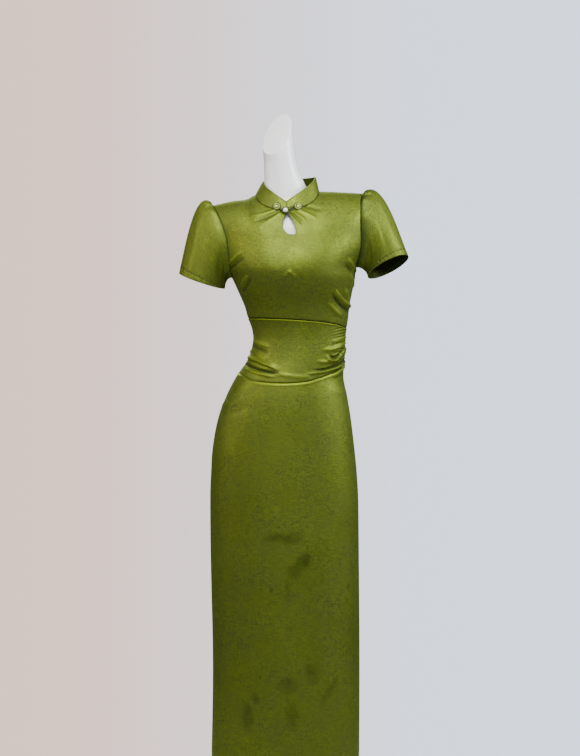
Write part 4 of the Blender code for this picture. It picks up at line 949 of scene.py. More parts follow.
def skirtPanel(piece):
    turns = panelTurns(piece, detail["round"])
    high = bandSeam("bottom", turns) - halfGap
    shown = seamShown(turns, high)[None]
    share = np.linspace(0.0, 1.0, detail["skirtRows"] + 1)[:, None]
    tape = mix(hems["skirt"], high[None], share)
    turn = np.broadcast_to(turns[None], tape.shape)
    below = high[None] - tape
    extra = seamEffect("skirtTop", "rise", below) * shown
    extra = extra + seamEffect("skirtHem", "rise", tape - hems["skirtStitches"])
    points = bodyPoint(turn, tape, extra)
    bloom = np.zeros(tape.shape)
    for x, z, wide, tall, slant, deep in skirtSprays if piece == "front" else ():
        along, up = points[..., 0] - x, points[..., 2] - z
        turned = (along * math.cos(slant) + up * math.sin(slant)) / wide
        lifted = (up * math.cos(slant) - along * math.sin(slant)) / tall
        bloom += deep * np.exp(-(turned ** 2 + lifted ** 2) ** 2)
    # a painted highlight along the top edge
    paintedShading = seamEffect("skirtTop", "tone", below) * shown
    layPanel(title("skirt", piece), "skirt_" + piece, turn, tape, points, paintedShading, np.minimum(bloom, 0.8))


sleeves = {
    "right": {"hemCentre": (-0.2004, 0.0, 1.2204), "hemOut": (-0.0552, 0.0, 0.0182),
              "hemDeep": (0.0, 0.0520, 0.0070), "leaveTop": (-0.125, 0.0, 0.175),
              "leaveSide": (-0.085, 0.030, 0.020), "leaveUnder": (-0.034, 0.0, 0.004),
              "reachTop": (-0.045, 0.0, -0.200), "reachUnder": (-0.004, 0.0, -0.036)},
    "left": {"hemCentre": (0.2465, 0.0, 1.2540), "hemOut": (0.0492, 0.0, 0.0232),
             "hemDeep": (0.0, 0.0520, -0.0160), "leaveTop": (0.150, 0.0, 0.150),
             "leaveSide": (0.095, 0.030, 0.020), "leaveUnder": (0.034, 0.0, 0.004),
             "reachTop": (0.070, 0.0, -0.160), "reachUnder": (0.006, 0.0, -0.036)},
}
# painted shade at the armhole seam, its dark line and the wider shade below it: their widths and the shade's
# depth
sleeveShade = {"right": (0.0050, 0.016, 0.22), "left": (0.0085, 0.044, 0.62)}
# turn share, half width and rise of the gathers at the cap
capPleats = ((-0.125, 0.012, 0.0010), (-0.085, 0.016, 0.0032), (-0.060, 0.010, -0.0014),
             (-0.040, 0.014, -0.0022), (-0.012, 0.010, 0.0012), (0.012, 0.010, -0.0012),
             (0.040, 0.014, 0.0030), (0.064, 0.010, 0.0010), (0.085, 0.016, -0.0022), (0.120, 0.012, 0.0010))
# soft creases lower down: share round the sleeve, station, half widths, rise
sleeveCreases = {
    "right": ((0.12, 0.55, 0.030, 0.30, 0.0022), (0.20, 0.72, 0.025, 0.22, -0.0020),
              (0.32, 0.62, 0.030, 0.26, 0.0018), (-0.15, 0.60, 0.030, 0.28, 0.0018),
              (-0.28, 0.66, 0.028, 0.24, -0.0016), (0.42, 0.45, 0.025, 0.25, -0.0016)),
    "left": ((0.12, 0.50, 0.030, 0.28, 0.0020), (0.22, 0.68, 0.026, 0.24, -0.0020),
             (-0.13, 0.58, 0.030, 0.28, 0.0018), (-0.24, 0.70, 0.026, 0.22, -0.0018),
             (0.34, 0.55, 0.028, 0.26, 0.0016), (-0.38, 0.52, 0.026, 0.24, 0.0014)),
}
sleeveFit = {
    "topPower": 1.6, "belly": 0.8,
    # how far along the sleeve its start stays under the bodice, and how deep; the same for its tuck
    "under": (0.02, 0.0019), "tuck": (0.012, 0.0045),
    # where the cap's gathers start and end, and how the lower creases slant
    "pleatStart": (0.015, 0.05), "pleatEnd": 0.40, "creaseSlant": 0.10,
    # painted shade: how dark the armhole seam's line is, and how much less of the wider shade the sleeve's top
    # gets
    "seamTone": -0.95, "topLight": 0.55,
}
# pucker of the cloth along the stitched hem
hemPucker = {"waves": (34, 21), "rise": 0.00035, "at": 0.017, "half": 0.0060}


def stepAlong(points, closed, axis=0):
    if closed:
        return np.roll(points, -1, axis=axis) - np.roll(points, 1, axis=axis)
    return np.gradient(points, axis=axis)


def seamRing(spots, closed):
    points = smoothPoint(spots[:, 0], spots[:, 1])
    normals = smoothNormal(spots[:, 0], spots[:, 1])
    across = unit(np.cross(stepAlong(points, closed), normals))
    if (across * (points.mean(axis=0) - points)).sum() < 0:
        across = -across
    return points, normals, across


def hermite(start, leave, end, reach, share):
    square, cube = share * share, share ** 3
    return (start * (2 * cube - 3 * square + 1) + leave * (cube - 2 * square + share)
            + end * (3 * square - 2 * cube) + reach * (cube - square))


def gridNormals(points, closed):
    along = stepAlong(points[:, :-1] if closed else points, closed, axis=1)
    if closed:
        along = np.concatenate((along, along[:, :1]), axis=1)
    return unit(np.cross(along, np.gradient(points, axis=0)))


def sleeveSurface(side):
    rows = detail["sleeveRows"]
    shape = {key: np.array(value) for key, value in sleeves[side].items()}
    front = armholeEdge(side, False, detail["armhole"])
    back = armholeEdge(side, True, detail["armhole"])
    points, bodyNormals, across = seamRing(np.concatenate((front[::-1], back[1:-1])), True)
    pick = np.arange(len(points) + 1) % len(points)
    share = pick / len(points)
    angle = 2 * math.pi * share
    top = ((1 + np.cos(angle)) / 2)[:, None]
    deep = (-np.sin(angle))[:, None]
    start = points[pick] + across[pick] * seamGap
    end = shape["hemCentre"] + shape["hemOut"] * np.cos(angle)[:, None] + shape["hemDeep"] * deep
    leave = mix(shape["leaveUnder"], shape["leaveTop"], top ** sleeveFit["topPower"])
    belly = np.broadcast_to(shape["leaveSide"], leave.shape).copy()
    belly[:, 1:2] *= deep
    leave = mix(leave, belly, deep ** 2 * sleeveFit["belly"])
    reach = mix(shape["reachUnder"], shape["reachTop"], top)
    station = np.linspace(0.0, 1.0, rows + 1)[:, None]
    outer = hermite(start[None], leave[None], end[None], reach[None], station[..., None])
    for way, (far, depth) in ((bodyNormals, sleeveFit["under"]), (across, sleeveFit["tuck"])):
        outer = outer - ease(1.0 - station / far)[..., None] * way[pick][None] * depth
    normals = gridNormals(outer, True)
    if (normals[rows // 2, 0] * (outer[rows // 2, 0] - outer[rows // 2].mean(axis=0))).sum() < 0:
        normals = -normals
    signed = np.where(share <= 0.5, share, share - 1.0)[None]
    rise = np.zeros_like(outer[..., 0])
    for turn, wide, up in capPleats:
        rise += up * bell(signed - turn, wide)
    start, over = sleeveFit["pleatStart"]
    rise *= (1 - ease(station / sleeveFit["pleatEnd"])) * ease((station - start) / over)
    for turn, at, wide, tall, up in sleeveCreases[side]:
        slant = signed - turn - sleeveFit["creaseSlant"] * (station - at)
        rise += up * np.exp(-(slant / wide) ** 2 - ((station - at) / tall) ** 2)
    length = np.linalg.norm(np.diff(outer[:, 0], axis=0), axis=1).sum()
    below, hem = station * length, (1.0 - station) * length
    stitched = hem - hems["sleeveStitches"]
    rise = rise + seamEffect("sleeveTop", "rise", below) + seamEffect("sleeveHem", "rise", stitched)
    first, second = (np.sin(signed * 2 * math.pi * waves + shift)
                     for waves, shift in zip(hemPucker["waves"], (0.0, 1.0)))
    pucker = hemPucker["rise"] * (first + 0.7 * second)
    rise = rise + pucker * bell(hem - hemPucker["at"], hemPucker["half"])
    # painted shade along the armhole seam and below it, less towards the sleeve's top, and along the hem
    # stitches
    shade, broad, depth = sleeveShade[side]
    paintedShading = sleeveFit["seamTone"] * bell(below, shade) + seamEffect("sleeveHem", "tone", stitched)
    paintedShading = paintedShading - depth * bell(below, broad) * (1.0 - sleeveFit["topLight"] * top[None, :, 0])
    return outer + normals * rise[..., None], normals, np.broadcast_to(paintedShading, rise.shape)


# Sewn lines kept for the stitches: points, normals, stitch length and gap
sewn = []
stitchShape = {"sleeve": (0.0032, 0.0014), "collar": (0.0026, 0.0012), "skirt": (0.0034, 0.0022)}


def sleeve(side):
    points, normals, paintedShading = sleeveSurface(side)
    length = np.linalg.norm(np.diff(points[:, 0], axis=0), axis=1).sum()
    row = round((1 - hems["sleeveStitches"] / length) * (len(points) - 1))
    sewn.append((points[row], normals[row], *stitchShape["sleeve"]))
    made = clothPiece("sleeve" + side.title(), points, clothWall, outwardAt(points, normals), paintedShading,
                      closed=True)
    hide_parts("sleeve_" + side)


def collarTop(angle):
    angle = np.asarray(angle, float)
    s = collarShape
    depth = np.where(np.sin(angle) > 0, s["topBack"], s["topFront"])
    side = mix(s["topRight"], s["topLeft"], (1 + np.cos(angle)) / 2)
    dip = np.maximum(0.0, 1.0 - np.abs(angle - 1.5 * math.pi) / (math.pi / 2)) ** s["dipPower"]
    lean = np.where(np.sin(angle) < 0, s["topLean"] * np.sin(angle) ** 2, 0.0)
    x = s["topX"] + s["topHalf"] * np.cos(angle) - lean
    return np.stack((x, depth * np.sin(angle), mix(side, s["dip"], dip)), -1)


def collar(side):
    rows, half = detail["collarRows"], math.pi / 2
    if side == "left":
        a = np.linspace(3 * half, 4 * half, detail["collarFront"] + 1)
        b = np.linspace(0.0, half, detail["collarBack"] + 1)[1:]
    else:
        a = np.linspace(half, math.pi, detail["collarBack"] + 1)[:-1]
        b = np.linspace(math.pi, 3 * half, detail["collarFront"] + 1)
    spots = np.concatenate((neckEdge(side == "right", a), neckEdge(side == "left", b)))
    angles = np.concatenate((a, b))
    points, _, across = seamRing(spots, False)
    top = collarTop(angles)
    share = np.linspace(0.0, 1.0, rows + 1)[:, None, None]
    grid = mix((points + across * seamGap)[None], top[None], share)
    shift = halfGap if side == "left" else -halfGap
    for k in (0, len(angles) - 1):
        grid[:, k, 0] = mix(collarShape["neckX"], top[k, 0], share[:, 0, 0]) + shift
    normals = gridNormals(grid, False)
    middle = grid[rows // 2, len(angles) // 2]
    if (normals[rows // 2, len(angles) // 2, :2] * middle[:2]).sum() < 0:
        normals = -normals
    # a pressed edge: a painted highlight along the top stands for its roll, and a row of stitches dips the
    # cloth below it
    tall = np.linalg.norm(top - points, axis=-1)
    height = share[..., 0] * tall[None]
    below = tall[None] - height
    stitched = below - hems["collarStitches"]
    rise = seamEffect("collarStitches", "rise", stitched) + seamEffect("collarFoot", "rise", height)
    grid = grid + normals * rise[..., None]
    # painted shade at the foot and along the stitches, and a painted highlight along the top
    paintedShading = seamEffect("collarFoot", "tone", height) + seamEffect("collarStitches", "tone", stitched)
    paintedShading = paintedShading + seamEffect("collarRoll", "tone", below)
    where = (1 - hems["collarStitches"] / tall) * rows
    low, column = where.astype(int), np.arange(len(where))
    line = mix(grid[low, column], grid[low + 1, column], (where - low)[:, None])
    sewn.append((line, normals[low, column], *stitchShape["collar"]))
    made = clothPiece("collar" + side.title(), grid, collarShape["wall"], outwardAt(grid, normals), paintedShading)
    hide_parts("collar_" + side)


keyhole = {
    "outline": ((0.0036, 1.3837), (-0.0038, 1.3712), (-0.0072, 1.3578), (-0.0050, 1.3420), (0.0040, 1.3310),
                (0.0150, 1.3286), (0.0240, 1.3300), (0.0257, 1.3400), (0.0190, 1.3600), (0.0110, 1.3740),
                (0.0044, 1.3837)),
    "slitTop": 1.400, "cutFrom": -0.20, "cutDeep": 0.17,
    "bindingRadius": 0.0007, "bindingTop": 1.3860, "bindingSink": 0.0002,
}


# The outline as a smooth closed path of many points, ending open at the slit
def keyholePath(steps=10):
    spots = [Vector((x, z)) for x, z in keyhole["outline"]]
    path = []
    for k in range(len(spots) - 1):
        before, after = spots[max(k - 1, 0)], spots[min(k + 2, len(spots) - 1)]
        a, b = spots[k], spots[k + 1]
        for step in range(steps):
            t = step / steps
            path.append(0.5 * ((2 * a) + (b - before) * t + (2 * before - 5 * a + 4 * b - after) * t * t
                               + (3 * a - before - 3 * b + after) * t ** 3))
    path.append(spots[-1])
    return path


def applyAll(target):
    seen = target.evaluated_get(bpy.context.evaluated_depsgraph_get())
    mesh = bpy.data.meshes.new_from_object(seen)
    target.modifiers.clear()
    old = target.data
    target.data = mesh
    bpy.data.meshes.remove(old)


def extrudeFaces(bm, faces, shift):
    made = bmesh.ops.extrude_face_region(bm, geom=faces)
    moved = [item for item in made["geom"] if isinstance(item, bmesh.types.BMVert)]
    bmesh.ops.translate(bm, vec=shift, verts=moved)
    return moved


def cutKeyhole(front):
    path = keyholePath()
    outline = path + [Vector((path[-1].x, keyhole["slitTop"])), Vector((path[0].x, keyhole["slitTop"]))]
    bm = bmesh.new()
    face = bm.faces.new([bm.verts.new((point.x, keyhole["cutFrom"], point.y)) for point in outline])
    extrudeFaces(bm, [face], (0.0, keyhole["cutDeep"], 0.0))
    bmesh.ops.recalc_face_normals(bm, faces=bm.faces[:])
    mesh = bpy.data.meshes.new("keyholeTool")
    bm.to_mesh(mesh)
    bm.free()
    tool = bpy.data.objects.new("keyholeTool", mesh)
    bpy.context.scene.collection.objects.link(tool)
    cut = front.modifiers.new("keyhole", "BOOLEAN")
    cut.operation = "DIFFERENCE"
    cut.object = tool
    cut.solver = "EXACT"
    bpy.context.view_layer.update()
    applyAll(front)
    bpy.data.objects.remove(tool)


cutKeyhole(bodiceFront())
print("front bodice laid and keyhole cut")
for side in ("left", "right"):
    bodiceBack(side)
    sleeve(side)
    collar(side)
print("back, sleeves and collar laid")
for piece in ("front", "back_left", "back_right"):
    waistband(piece)
    skirtPanel(piece)
print("waistband and skirt laid")


# A round tube along a path, swept from a small circle, closed at both ends
def tube(name, path, radius, material, sides=12):
    path = np.asarray(path, float)
    ahead = unit(np.gradient(path, axis=0))
    lift = unit(np.cross(ahead[0], (0.0, 0.0, 1.0) if abs(ahead[0][2]) < 0.9 else (1.0, 0.0, 0.0)))
    angle = np.linspace(0.0, 2 * math.pi, sides + 1)[:, None]
    rings = []
    for point, way in zip(path, ahead):
        lift = unit(lift - way * (lift * way).sum())
        rings.append(point + (lift * np.cos(angle) + np.cross(way, lift) * np.sin(angle)) * radius)
    points = np.array(rings)
    bm, spots = gridMesh(points)
    measure(bm, points, spots)
    bmesh.ops.remove_doubles(bm, verts=bm.verts[:], dist=0.000004)
    bmesh.ops.holes_fill(bm, edges=[edge for edge in bm.edges if edge.is_boundary], sides=0)
    bmesh.ops.recalc_face_normals(bm, faces=bm.faces[:])
    return finishMesh(name, bm, material)


# Turns a profile all the way round an axis
def spinRound(bm, verts, edges, centre, axis, steps):
    bmesh.ops.spin(bm, geom=verts + edges, cent=centre, axis=axis, angle=2 * math.pi, steps=steps,
                   use_merge=True)
    bmesh.ops.remove_doubles(bm, verts=bm.verts[:], dist=0.00001)


# The collar's outer face at a place seen from the front
def collarSpot(x, z):
    s = collarShape
    angle = math.pi + math.acos(max(-1.0, min(1.0, (s["neckX"] - x) / s["neckHalf"])))

    def line(at):
        low = neckEdge(False, np.array([at]))[0]
        return smoothPoint(low[0], low[1]), collarTop(at)

    base, top = line(angle)
    share = (z - base[2]) / (top[2] - base[2])
    point = mix(base, top, share)
    nextBase, nextTop = line(angle + 0.02)
    along = mix(nextBase, nextTop, share) - point
    return Vector(point), Vector(unit(np.cross(along, top - base)))


frog = {
    "radius": 0.0098, "height": 0.0052, "right": (-0.0214, 1.3962), "left": (0.0303, 1.3962),
    "lift": {"right": 0.0008, "left": 0.0014}, "cordLift": 0.0043, "cordRadius": 0.0011,
    "bead": (-0.0003, -0.0866, 1.3874), "beadRadius": 0.0057, "loopHalf": 0.0024, "loopOpening": 50,
    "beadBack": 0.0015, "knotCord": 0.00140, "eye": 0.0032, "eyeFlat": 0.7, "eyeHeight": 0.62,
    "visualCord": 0.0015,
    # the coil: how often it goes round, its first radius as a share, its last one, heights from rim to eye
    # and the cord's ripple
    "turns": 1.2, "coilStart": 0.90, "coilEnd": 0.0052, "climb": (0.40, 0.22), "ripple": 0.0005,
    "way": {"right": -1, "left": 1}, "start": {"right": 2.4, "left": 0.4},
    # radius and height of the base under the coil, as shares; the base is near black and reaches past the
    # coil, a painted shadow round the knot
    "base": ((0.0, 0.34), (0.98, 0.34), (1.15, 0.18), (1.02, 0.02), (0.0, 0.0)),
}


# A knot of satin cord coiled from its rim up to a raised eye
def rosette(side):
    point, normal = collarSpot(*frog[side])
    turnTo = Vector((0, 0, 1)).rotation_difference(normal).to_matrix().to_4x4()
    place = Matrix.Translation(point + normal * frog["lift"][side]) @ turnTo
    bm = bmesh.new()
    verts = [bm.verts.new((r * frog["radius"], 0.0, h * frog["height"])) for r, h in frog["base"]]
    edges = [bm.edges.new((verts[i], verts[i + 1])) for i in range(len(verts) - 1)]
    spinRound(bm, verts, edges, (0, 0, 0), (0, 0, 1), 48)
    bmesh.ops.recalc_face_normals(bm, faces=bm.faces[:])
    bmesh.ops.transform(bm, matrix=place, verts=bm.verts[:])
    # the near-black base shows round the coil as painted shadow
    finishMesh("knotBack" + side.title(), bm, darkCordAndShade)
    share = np.linspace(0.0, 1.0, 200)
    far = mix(frog["radius"] * frog["coilStart"] - frog["knotCord"], frog["coilEnd"], share ** 0.92)
    angle = (share * frog["turns"] * 2 * math.pi) * frog["way"][side] + frog["start"][side]
    high = frog["height"] * (frog["climb"][0] + frog["climb"][1] * share)
    high = high + frog["ripple"] * np.sin(angle * 4.0) * (1 - share)
    path = [place @ Vector((r * math.cos(a), r * math.sin(a), h)) for r, a, h in zip(far, angle, high)]
    coil = tube("knotCoil" + side.title(), path, frog["knotCord"], knotCord)
    bm = bmesh.new()
    bmesh.ops.create_uvsphere(bm, u_segments=24, v_segments=14, radius=frog["eye"])
    bmesh.ops.scale(bm, vec=(1.0, 1.0, frog["eyeFlat"]), verts=bm.verts[:])
    bmesh.ops.translate(bm, vec=(0.0, 0.0, frog["height"] * frog["eyeHeight"]), verts=bm.verts[:])
    bmesh.ops.transform(bm, matrix=place, verts=bm.verts[:])
    finishMesh("knotEye" + side.title(), bm, knotSatin)
    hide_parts("frog_rosette_" + side)


def pearlButton():
    bm = bmesh.new()
    bmesh.ops.create_uvsphere(bm, u_segments=48, v_segments=32, radius=frog["beadRadius"])
    # flattened a touch at the thread holes, as a drilled pearl is
    for vert in bm.verts:
        pole = abs(vert.co.z) / frog["beadRadius"]
        if pole > 0.93:
            vert.co.z *= 1.0 - (pole - 0.93) * 0.8
    bmesh.ops.transform(bm, matrix=Matrix.Translation(frog["bead"]) @ Matrix.Rotation(math.pi / 2, 4, "Y"),
                        verts=bm.verts[:])
    made = finishMesh("pearlButton", bm, pearl)
    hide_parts("pearl_bead")


# Where a cord leaves a knot on its way to its far end
def cordRoot(side, end):
    point, normal = collarSpot(*frog[side])
    lift = point + normal * frog["cordLift"]
    clear = frog["radius"] + frog["cordRadius"] + seamGap
    return lift + Vector((end.x - lift.x, 0.0, end.z - lift.z)).normalized() * clear


def frogCords():
    bead, back = Vector(frog["bead"]), frog["beadBack"]
    ring = frog["beadRadius"] + frog["cordRadius"] + seamGap
    root, half = cordRoot("left", bead), Vector((0.0, 0.0, frog["loopHalf"]))
    opening = math.radians(frog["loopOpening"])
    path = []
    for step in range(33):
        angle = mix(opening, 2 * math.pi - opening, step / 32)
        path.append(bead + Vector((ring * math.cos(angle), back, ring * math.sin(angle))))
    start = [(root + half).lerp(path[0], k / 6) for k in range(6)]
    finish = [path[-1].lerp(root - half, k / 6) for k in range(1, 7)]
    loop = tube("buttonLoop", start + path + finish, frog["visualCord"], darkCordAndShade)
    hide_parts("frog_loop")
    end = bead + Vector((-ring - 2 * frog["cordRadius"] - seamGap, back, 0.0))
    root = cordRoot("right", end)
    path = [root.lerp(end, k / 12) for k in range(13)]
    stem = tube("buttonStem", path, frog["visualCord"] * 1.25, darkCordAndShade)
    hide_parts("frog_stem")


for side in ("right", "left"):
    rosette(side)
pearlButton()
frogCords()
print("frog closure made")


# Bias binding round the keyhole, on the cloth's own face
def keyholeBinding():
    path = keyholePath(8)
    top = keyhole["bindingTop"]
    path = [Vector((path[0].x, top)), *path, Vector((path[-1].x, top))]
    flat = np.array([(p.x, p.y) for p in path])
    turn = turnAt(flat[:, 0], flat[:, 1], False)
    tape = flat[:, 1].copy()
    for _ in range(12):
        tape = tape + (flat[:, 1] - splitTape(turn, tape)[0])
        turn = turnAt(flat[:, 0], tape, False)
    points = smoothPoint(turn, tape) + smoothNormal(turn, tape) * -keyhole["bindingSink"]
    tube("keyholeBinding", points, keyhole["bindingRadius"], binding, sides=10)


keyholeBinding()
print("keyhole bound")

# Seam allowances: a narrow strip of cloth under each seam, darkened with painted shade
allowance = {"half": 0.0026, "depth": 0.0021, "wall": 0.0004, "tone": -0.5, "foot": 0.056}


def seamStrip(name, turn, tape, closed=False):
    turn, tape = np.broadcast_arrays(turn, tape)
    layStrip(name, bodyPoint(turn, tape), smoothNormal(turn, tape), allowance["depth"], closed)


def layStrip(name, points, normals, depth, closed=False):
    across = unit(np.cross(stepAlong(points, closed), normals))
    reach = (np.linspace(-1.0, 1.0, 5) * allowance["half"])[:, None, None]
    grid = points[None] + across[None] * reach - normals[None] * depth
    if closed:
        grid = np.concatenate((grid, grid[:, :1]), axis=1)
    clothPiece(name, grid, allowance["wall"], (grid[2, 4], normals[4]),
               np.full(grid.shape[:2], allowance["tone"]), closed=closed)


def seamStrips():
    for side, turn in (("right", math.pi), ("left", 0.0)):
        tape = np.linspace(allowance["foot"], armholes[side][0][0] - 0.001, 200)
        seamStrip("sideAllowance" + side.title(), turn, tape)
        arm = armholeEdge(side, False, 8)[-1]
        neck = neckEdge(False, np.array([math.pi if side == "right" else 2 * math.pi]))[0]
        turns = np.linspace(arm[0], neck[0], 40)
        seamStrip("shoulderAllowance" + side.title(), turns, ridgeTape(turns) - halfGap)
    neckBack = float(neckEdge(True, np.array([math.pi / 2]))[0, 1])
    seamStrip("backAllowance", math.pi / 2, np.linspace(allowance["foot"], neckBack, 260))
    ring = np.linspace(-math.pi, math.pi, 361)[:-1]
    for which in ("top", "bottom"):
        seamStrip(which + "BandAllowance", ring, bandSeam(which, ring), closed=True)
    front = neckEdge(False, np.linspace(math.pi, 2 * math.pi, 180))
    back = neckEdge(True, np.linspace(0.0, math.pi, 90))
    seamStrip("neckAllowance", *np.concatenate((front, back[1:-1])).T, closed=True)


seamStrips()
print("seam allowances laid")


def walkLengths(points):
    return np.concatenate(([0.0], np.cumsum(np.linalg.norm(np.diff(points, axis=0), axis=1))))


# The path, or other values along it, at these lengths from its start
def walk(points, at, values=None):
    far = walkLengths(points)
    values = points if values is None else values
    return np.stack([np.interp(at, far, values[:, k]) for k in range(3)], -1)


def facing(middle, along, normal, size):
    x = Vector(along).normalized()
    z = Vector(normal)
    z = (z - x * z.dot(x)).normalized()
    turnTo = Matrix((x, z.cross(x), z)).transposed().to_4x4()
    return Matrix.Translation(middle) @ turnTo @ Matrix.Diagonal((*size, 1.0))


# Many small beads, made in batches
def addBeads(bm, places):
    for start in range(0, len(places), 16):
        batch = bmesh.new()
        for place in places[start:start + 16]:
            bmesh.ops.create_uvsphere(batch, u_segments=8, v_segments=6, radius=1.0, matrix=place)
        mesh = bpy.data.meshes.new("batch")
        batch.to_mesh(mesh)
        batch.free()
        bm.from_mesh(mesh)
        bpy.data.meshes.remove(mesh)


# Each stitch is a short bead of thread that dives into the cloth at both ends
def stitches(name, rows, material):
    places = []
    for points, normals, length, gap in rows:
        total = walkLengths(points)[-1]
        starts = np.arange(0.0, total - length, length + gap)
        share = (starts + length / 2) / total * (len(points) - 1)
        pick = np.clip(share.round().astype(int), 0, len(points) - 1)
        size = (length * 0.55, 0.00030, 0.00022)
        for a, b, normal in zip(walk(points, starts), walk(points, starts + length), normals[pick]):
            places.append(facing((a + b) / 2 + normal * 0.00010, b - a, normal, size))
    bm = bmesh.new()
    addBeads(bm, places)
    return finishMesh(name, bm, material)


hemTurns, hemTape = np.linspace(-math.pi, math.pi, 600), hems["skirtStitches"]
sewn.append((bodyPoint(hemTurns, hemTape), smoothNormal(hemTurns, hemTape), *stitchShape["skirt"]))
stitches("topStitching", sewn, thread)
print("stitches sewn")

zipShape = {
    "hinge": (0.00775, 0.054063, 1.45225), "face": 0.051963, "seat": 0.049363, "slider": 1.4500,
    "width": 0.0070, "length": 0.0090, "barrel": 0.0018, "bore": 0.0010, "tab": 0.0036, "tabLength": 0.0150,
    "pin": 0.0006, "tabWall": 0.0010,
    # the coil: where it ends, its pitch, the size of a turn and its slant
    "coilEnd": 0.930, "pitch": 0.0016, "coilTurn": (0.00125, 0.00046, 0.00042), "coilSlant": 0.16,
}


# A bevelled block; taper narrows its lower end
def addBlock(bm, size, centre, edge, taper):
    made = bmesh.ops.create_cube(bm, size=1.0)["verts"]
    for vert in made:
        if vert.co.z < 0:
            vert.co.x *= taper
    bmesh.ops.scale(bm, vec=size, verts=made)
    bmesh.ops.translate(bm, vec=centre, verts=made)
    bevelEdges(bm, list({item for vert in made for item in vert.link_edges}), edge, 3)


def zipSlider():
    hinge, shape = Vector(zipShape["hinge"]), zipShape
    face, seat, high, barrel = shape["face"], shape["seat"], shape["slider"], shape["barrel"]
    wide, deep, tall = shape["width"], face - seat, shape["length"]
    blocks = [
        # size, offset from the middle line, place from front to back, height, bevel, taper
        ((wide, deep * 0.36, tall), 0.0, face - deep * 0.18, high, 0.0004, 0.70),
        ((wide, deep * 0.30, tall), 0.0, seat + deep * 0.15, high, 0.0003, 0.70),
        ((wide * 0.30, deep * 0.6, tall * 0.4), 0.0, (face + seat) / 2, high + tall * 0.25, 0.0002, 0.6),
    ]
    for way in (-1, 1):
        blocks.append(((0.0010, 2 * barrel + 0.0013, 2 * barrel), way * 0.0026, hinge.y - 0.0005, hinge.z,
                       0.00035, 1.0))
        blocks.append(((0.0005, deep * 0.5, tall * 0.55), way * wide * 0.44, face - deep * 0.3,
                       high + tall * 0.12, 0.00015, 1.0))
    bm = bmesh.new()
    for size, aside, y, z, edge, taper in blocks:
        addBlock(bm, size, (hinge.x + aside, y, z), edge, taper)
    across = Matrix.Translation(hinge) @ Matrix.Rotation(math.pi / 2, 4, "Y")
    bmesh.ops.create_cone(bm, cap_ends=True, segments=20, radius1=shape["pin"], radius2=shape["pin"],
                          depth=0.0056, matrix=across)
    made = finishMesh("zipSlider", bm, metal, sharp=35)
    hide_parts("zip_slider")


# Pull tab: a barrel on the pin and a flat tongue with an oval hole
def zipPull():
    hinge, shape = Vector(zipShape["hinge"]), zipShape
    half, outer, inner = shape["tab"] / 2, shape["barrel"], shape["bore"]
    bm = bmesh.new()
    profile = ((-half, inner), (-half, outer - 0.0002), (-half + 0.0002, outer), (half - 0.0002, outer),
               (half, outer - 0.0002), (half, inner))
    verts = [bm.verts.new((hinge.x + x, hinge.y, hinge.z + r)) for x, r in profile]
    edges = [bm.edges.new((verts[k], verts[(k + 1) % len(verts)])) for k in range(len(verts))]
    spinRound(bm, verts, edges, hinge, (1, 0, 0), 40)
    cells, rows = 56, 3
    middle = -inner - shape["tabLength"] / 2
    made = bmesh.ops.create_grid(bm, x_segments=cells, y_segments=rows, size=0.5)["verts"]
    for vert in made:
        angle = 2 * math.pi * round((vert.co.x + 0.5) * cells) / cells
        share = round((vert.co.y + 0.5) * rows) / rows
        c, s = math.cos(angle), math.sin(angle)
        square = (abs(c) ** 4 + abs(s) ** 4) ** -0.25
        rim = (c * square * half * (0.92 - 0.06 * s * square), middle + s * square * shape["tabLength"] / 2)
        hole = (c * half * 0.42, middle - shape["tabLength"] * 0.20 + s * half * 0.95)
        vert.co = (hinge.x + mix(hole[0], rim[0], share), hinge.y, hinge.z + mix(hole[1], rim[1], share))
    bmesh.ops.remove_doubles(bm, verts=made, dist=0.000005)
    flat = [face for face in bm.faces if face.calc_center_median().z < hinge.z - inner - 0.0004
            and abs(face.normal.y) > 0.99 and abs(face.calc_center_median().y - hinge.y) < 0.00001]
    thick = shape["tabWall"] / 2
    moved = extrudeFaces(bm, flat, (0.0, thick, 0.0))
    others = {vert for face in flat for vert in face.verts}
    bmesh.ops.translate(bm, vec=(0.0, -thick, 0.0), verts=[vert for vert in others if vert not in moved])
    bmesh.ops.recalc_face_normals(bm, faces=bm.faces[:])
    pull = finishMesh("zipPull", bm, metal, body="pull", sharp=35)
    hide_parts("zip_pull")


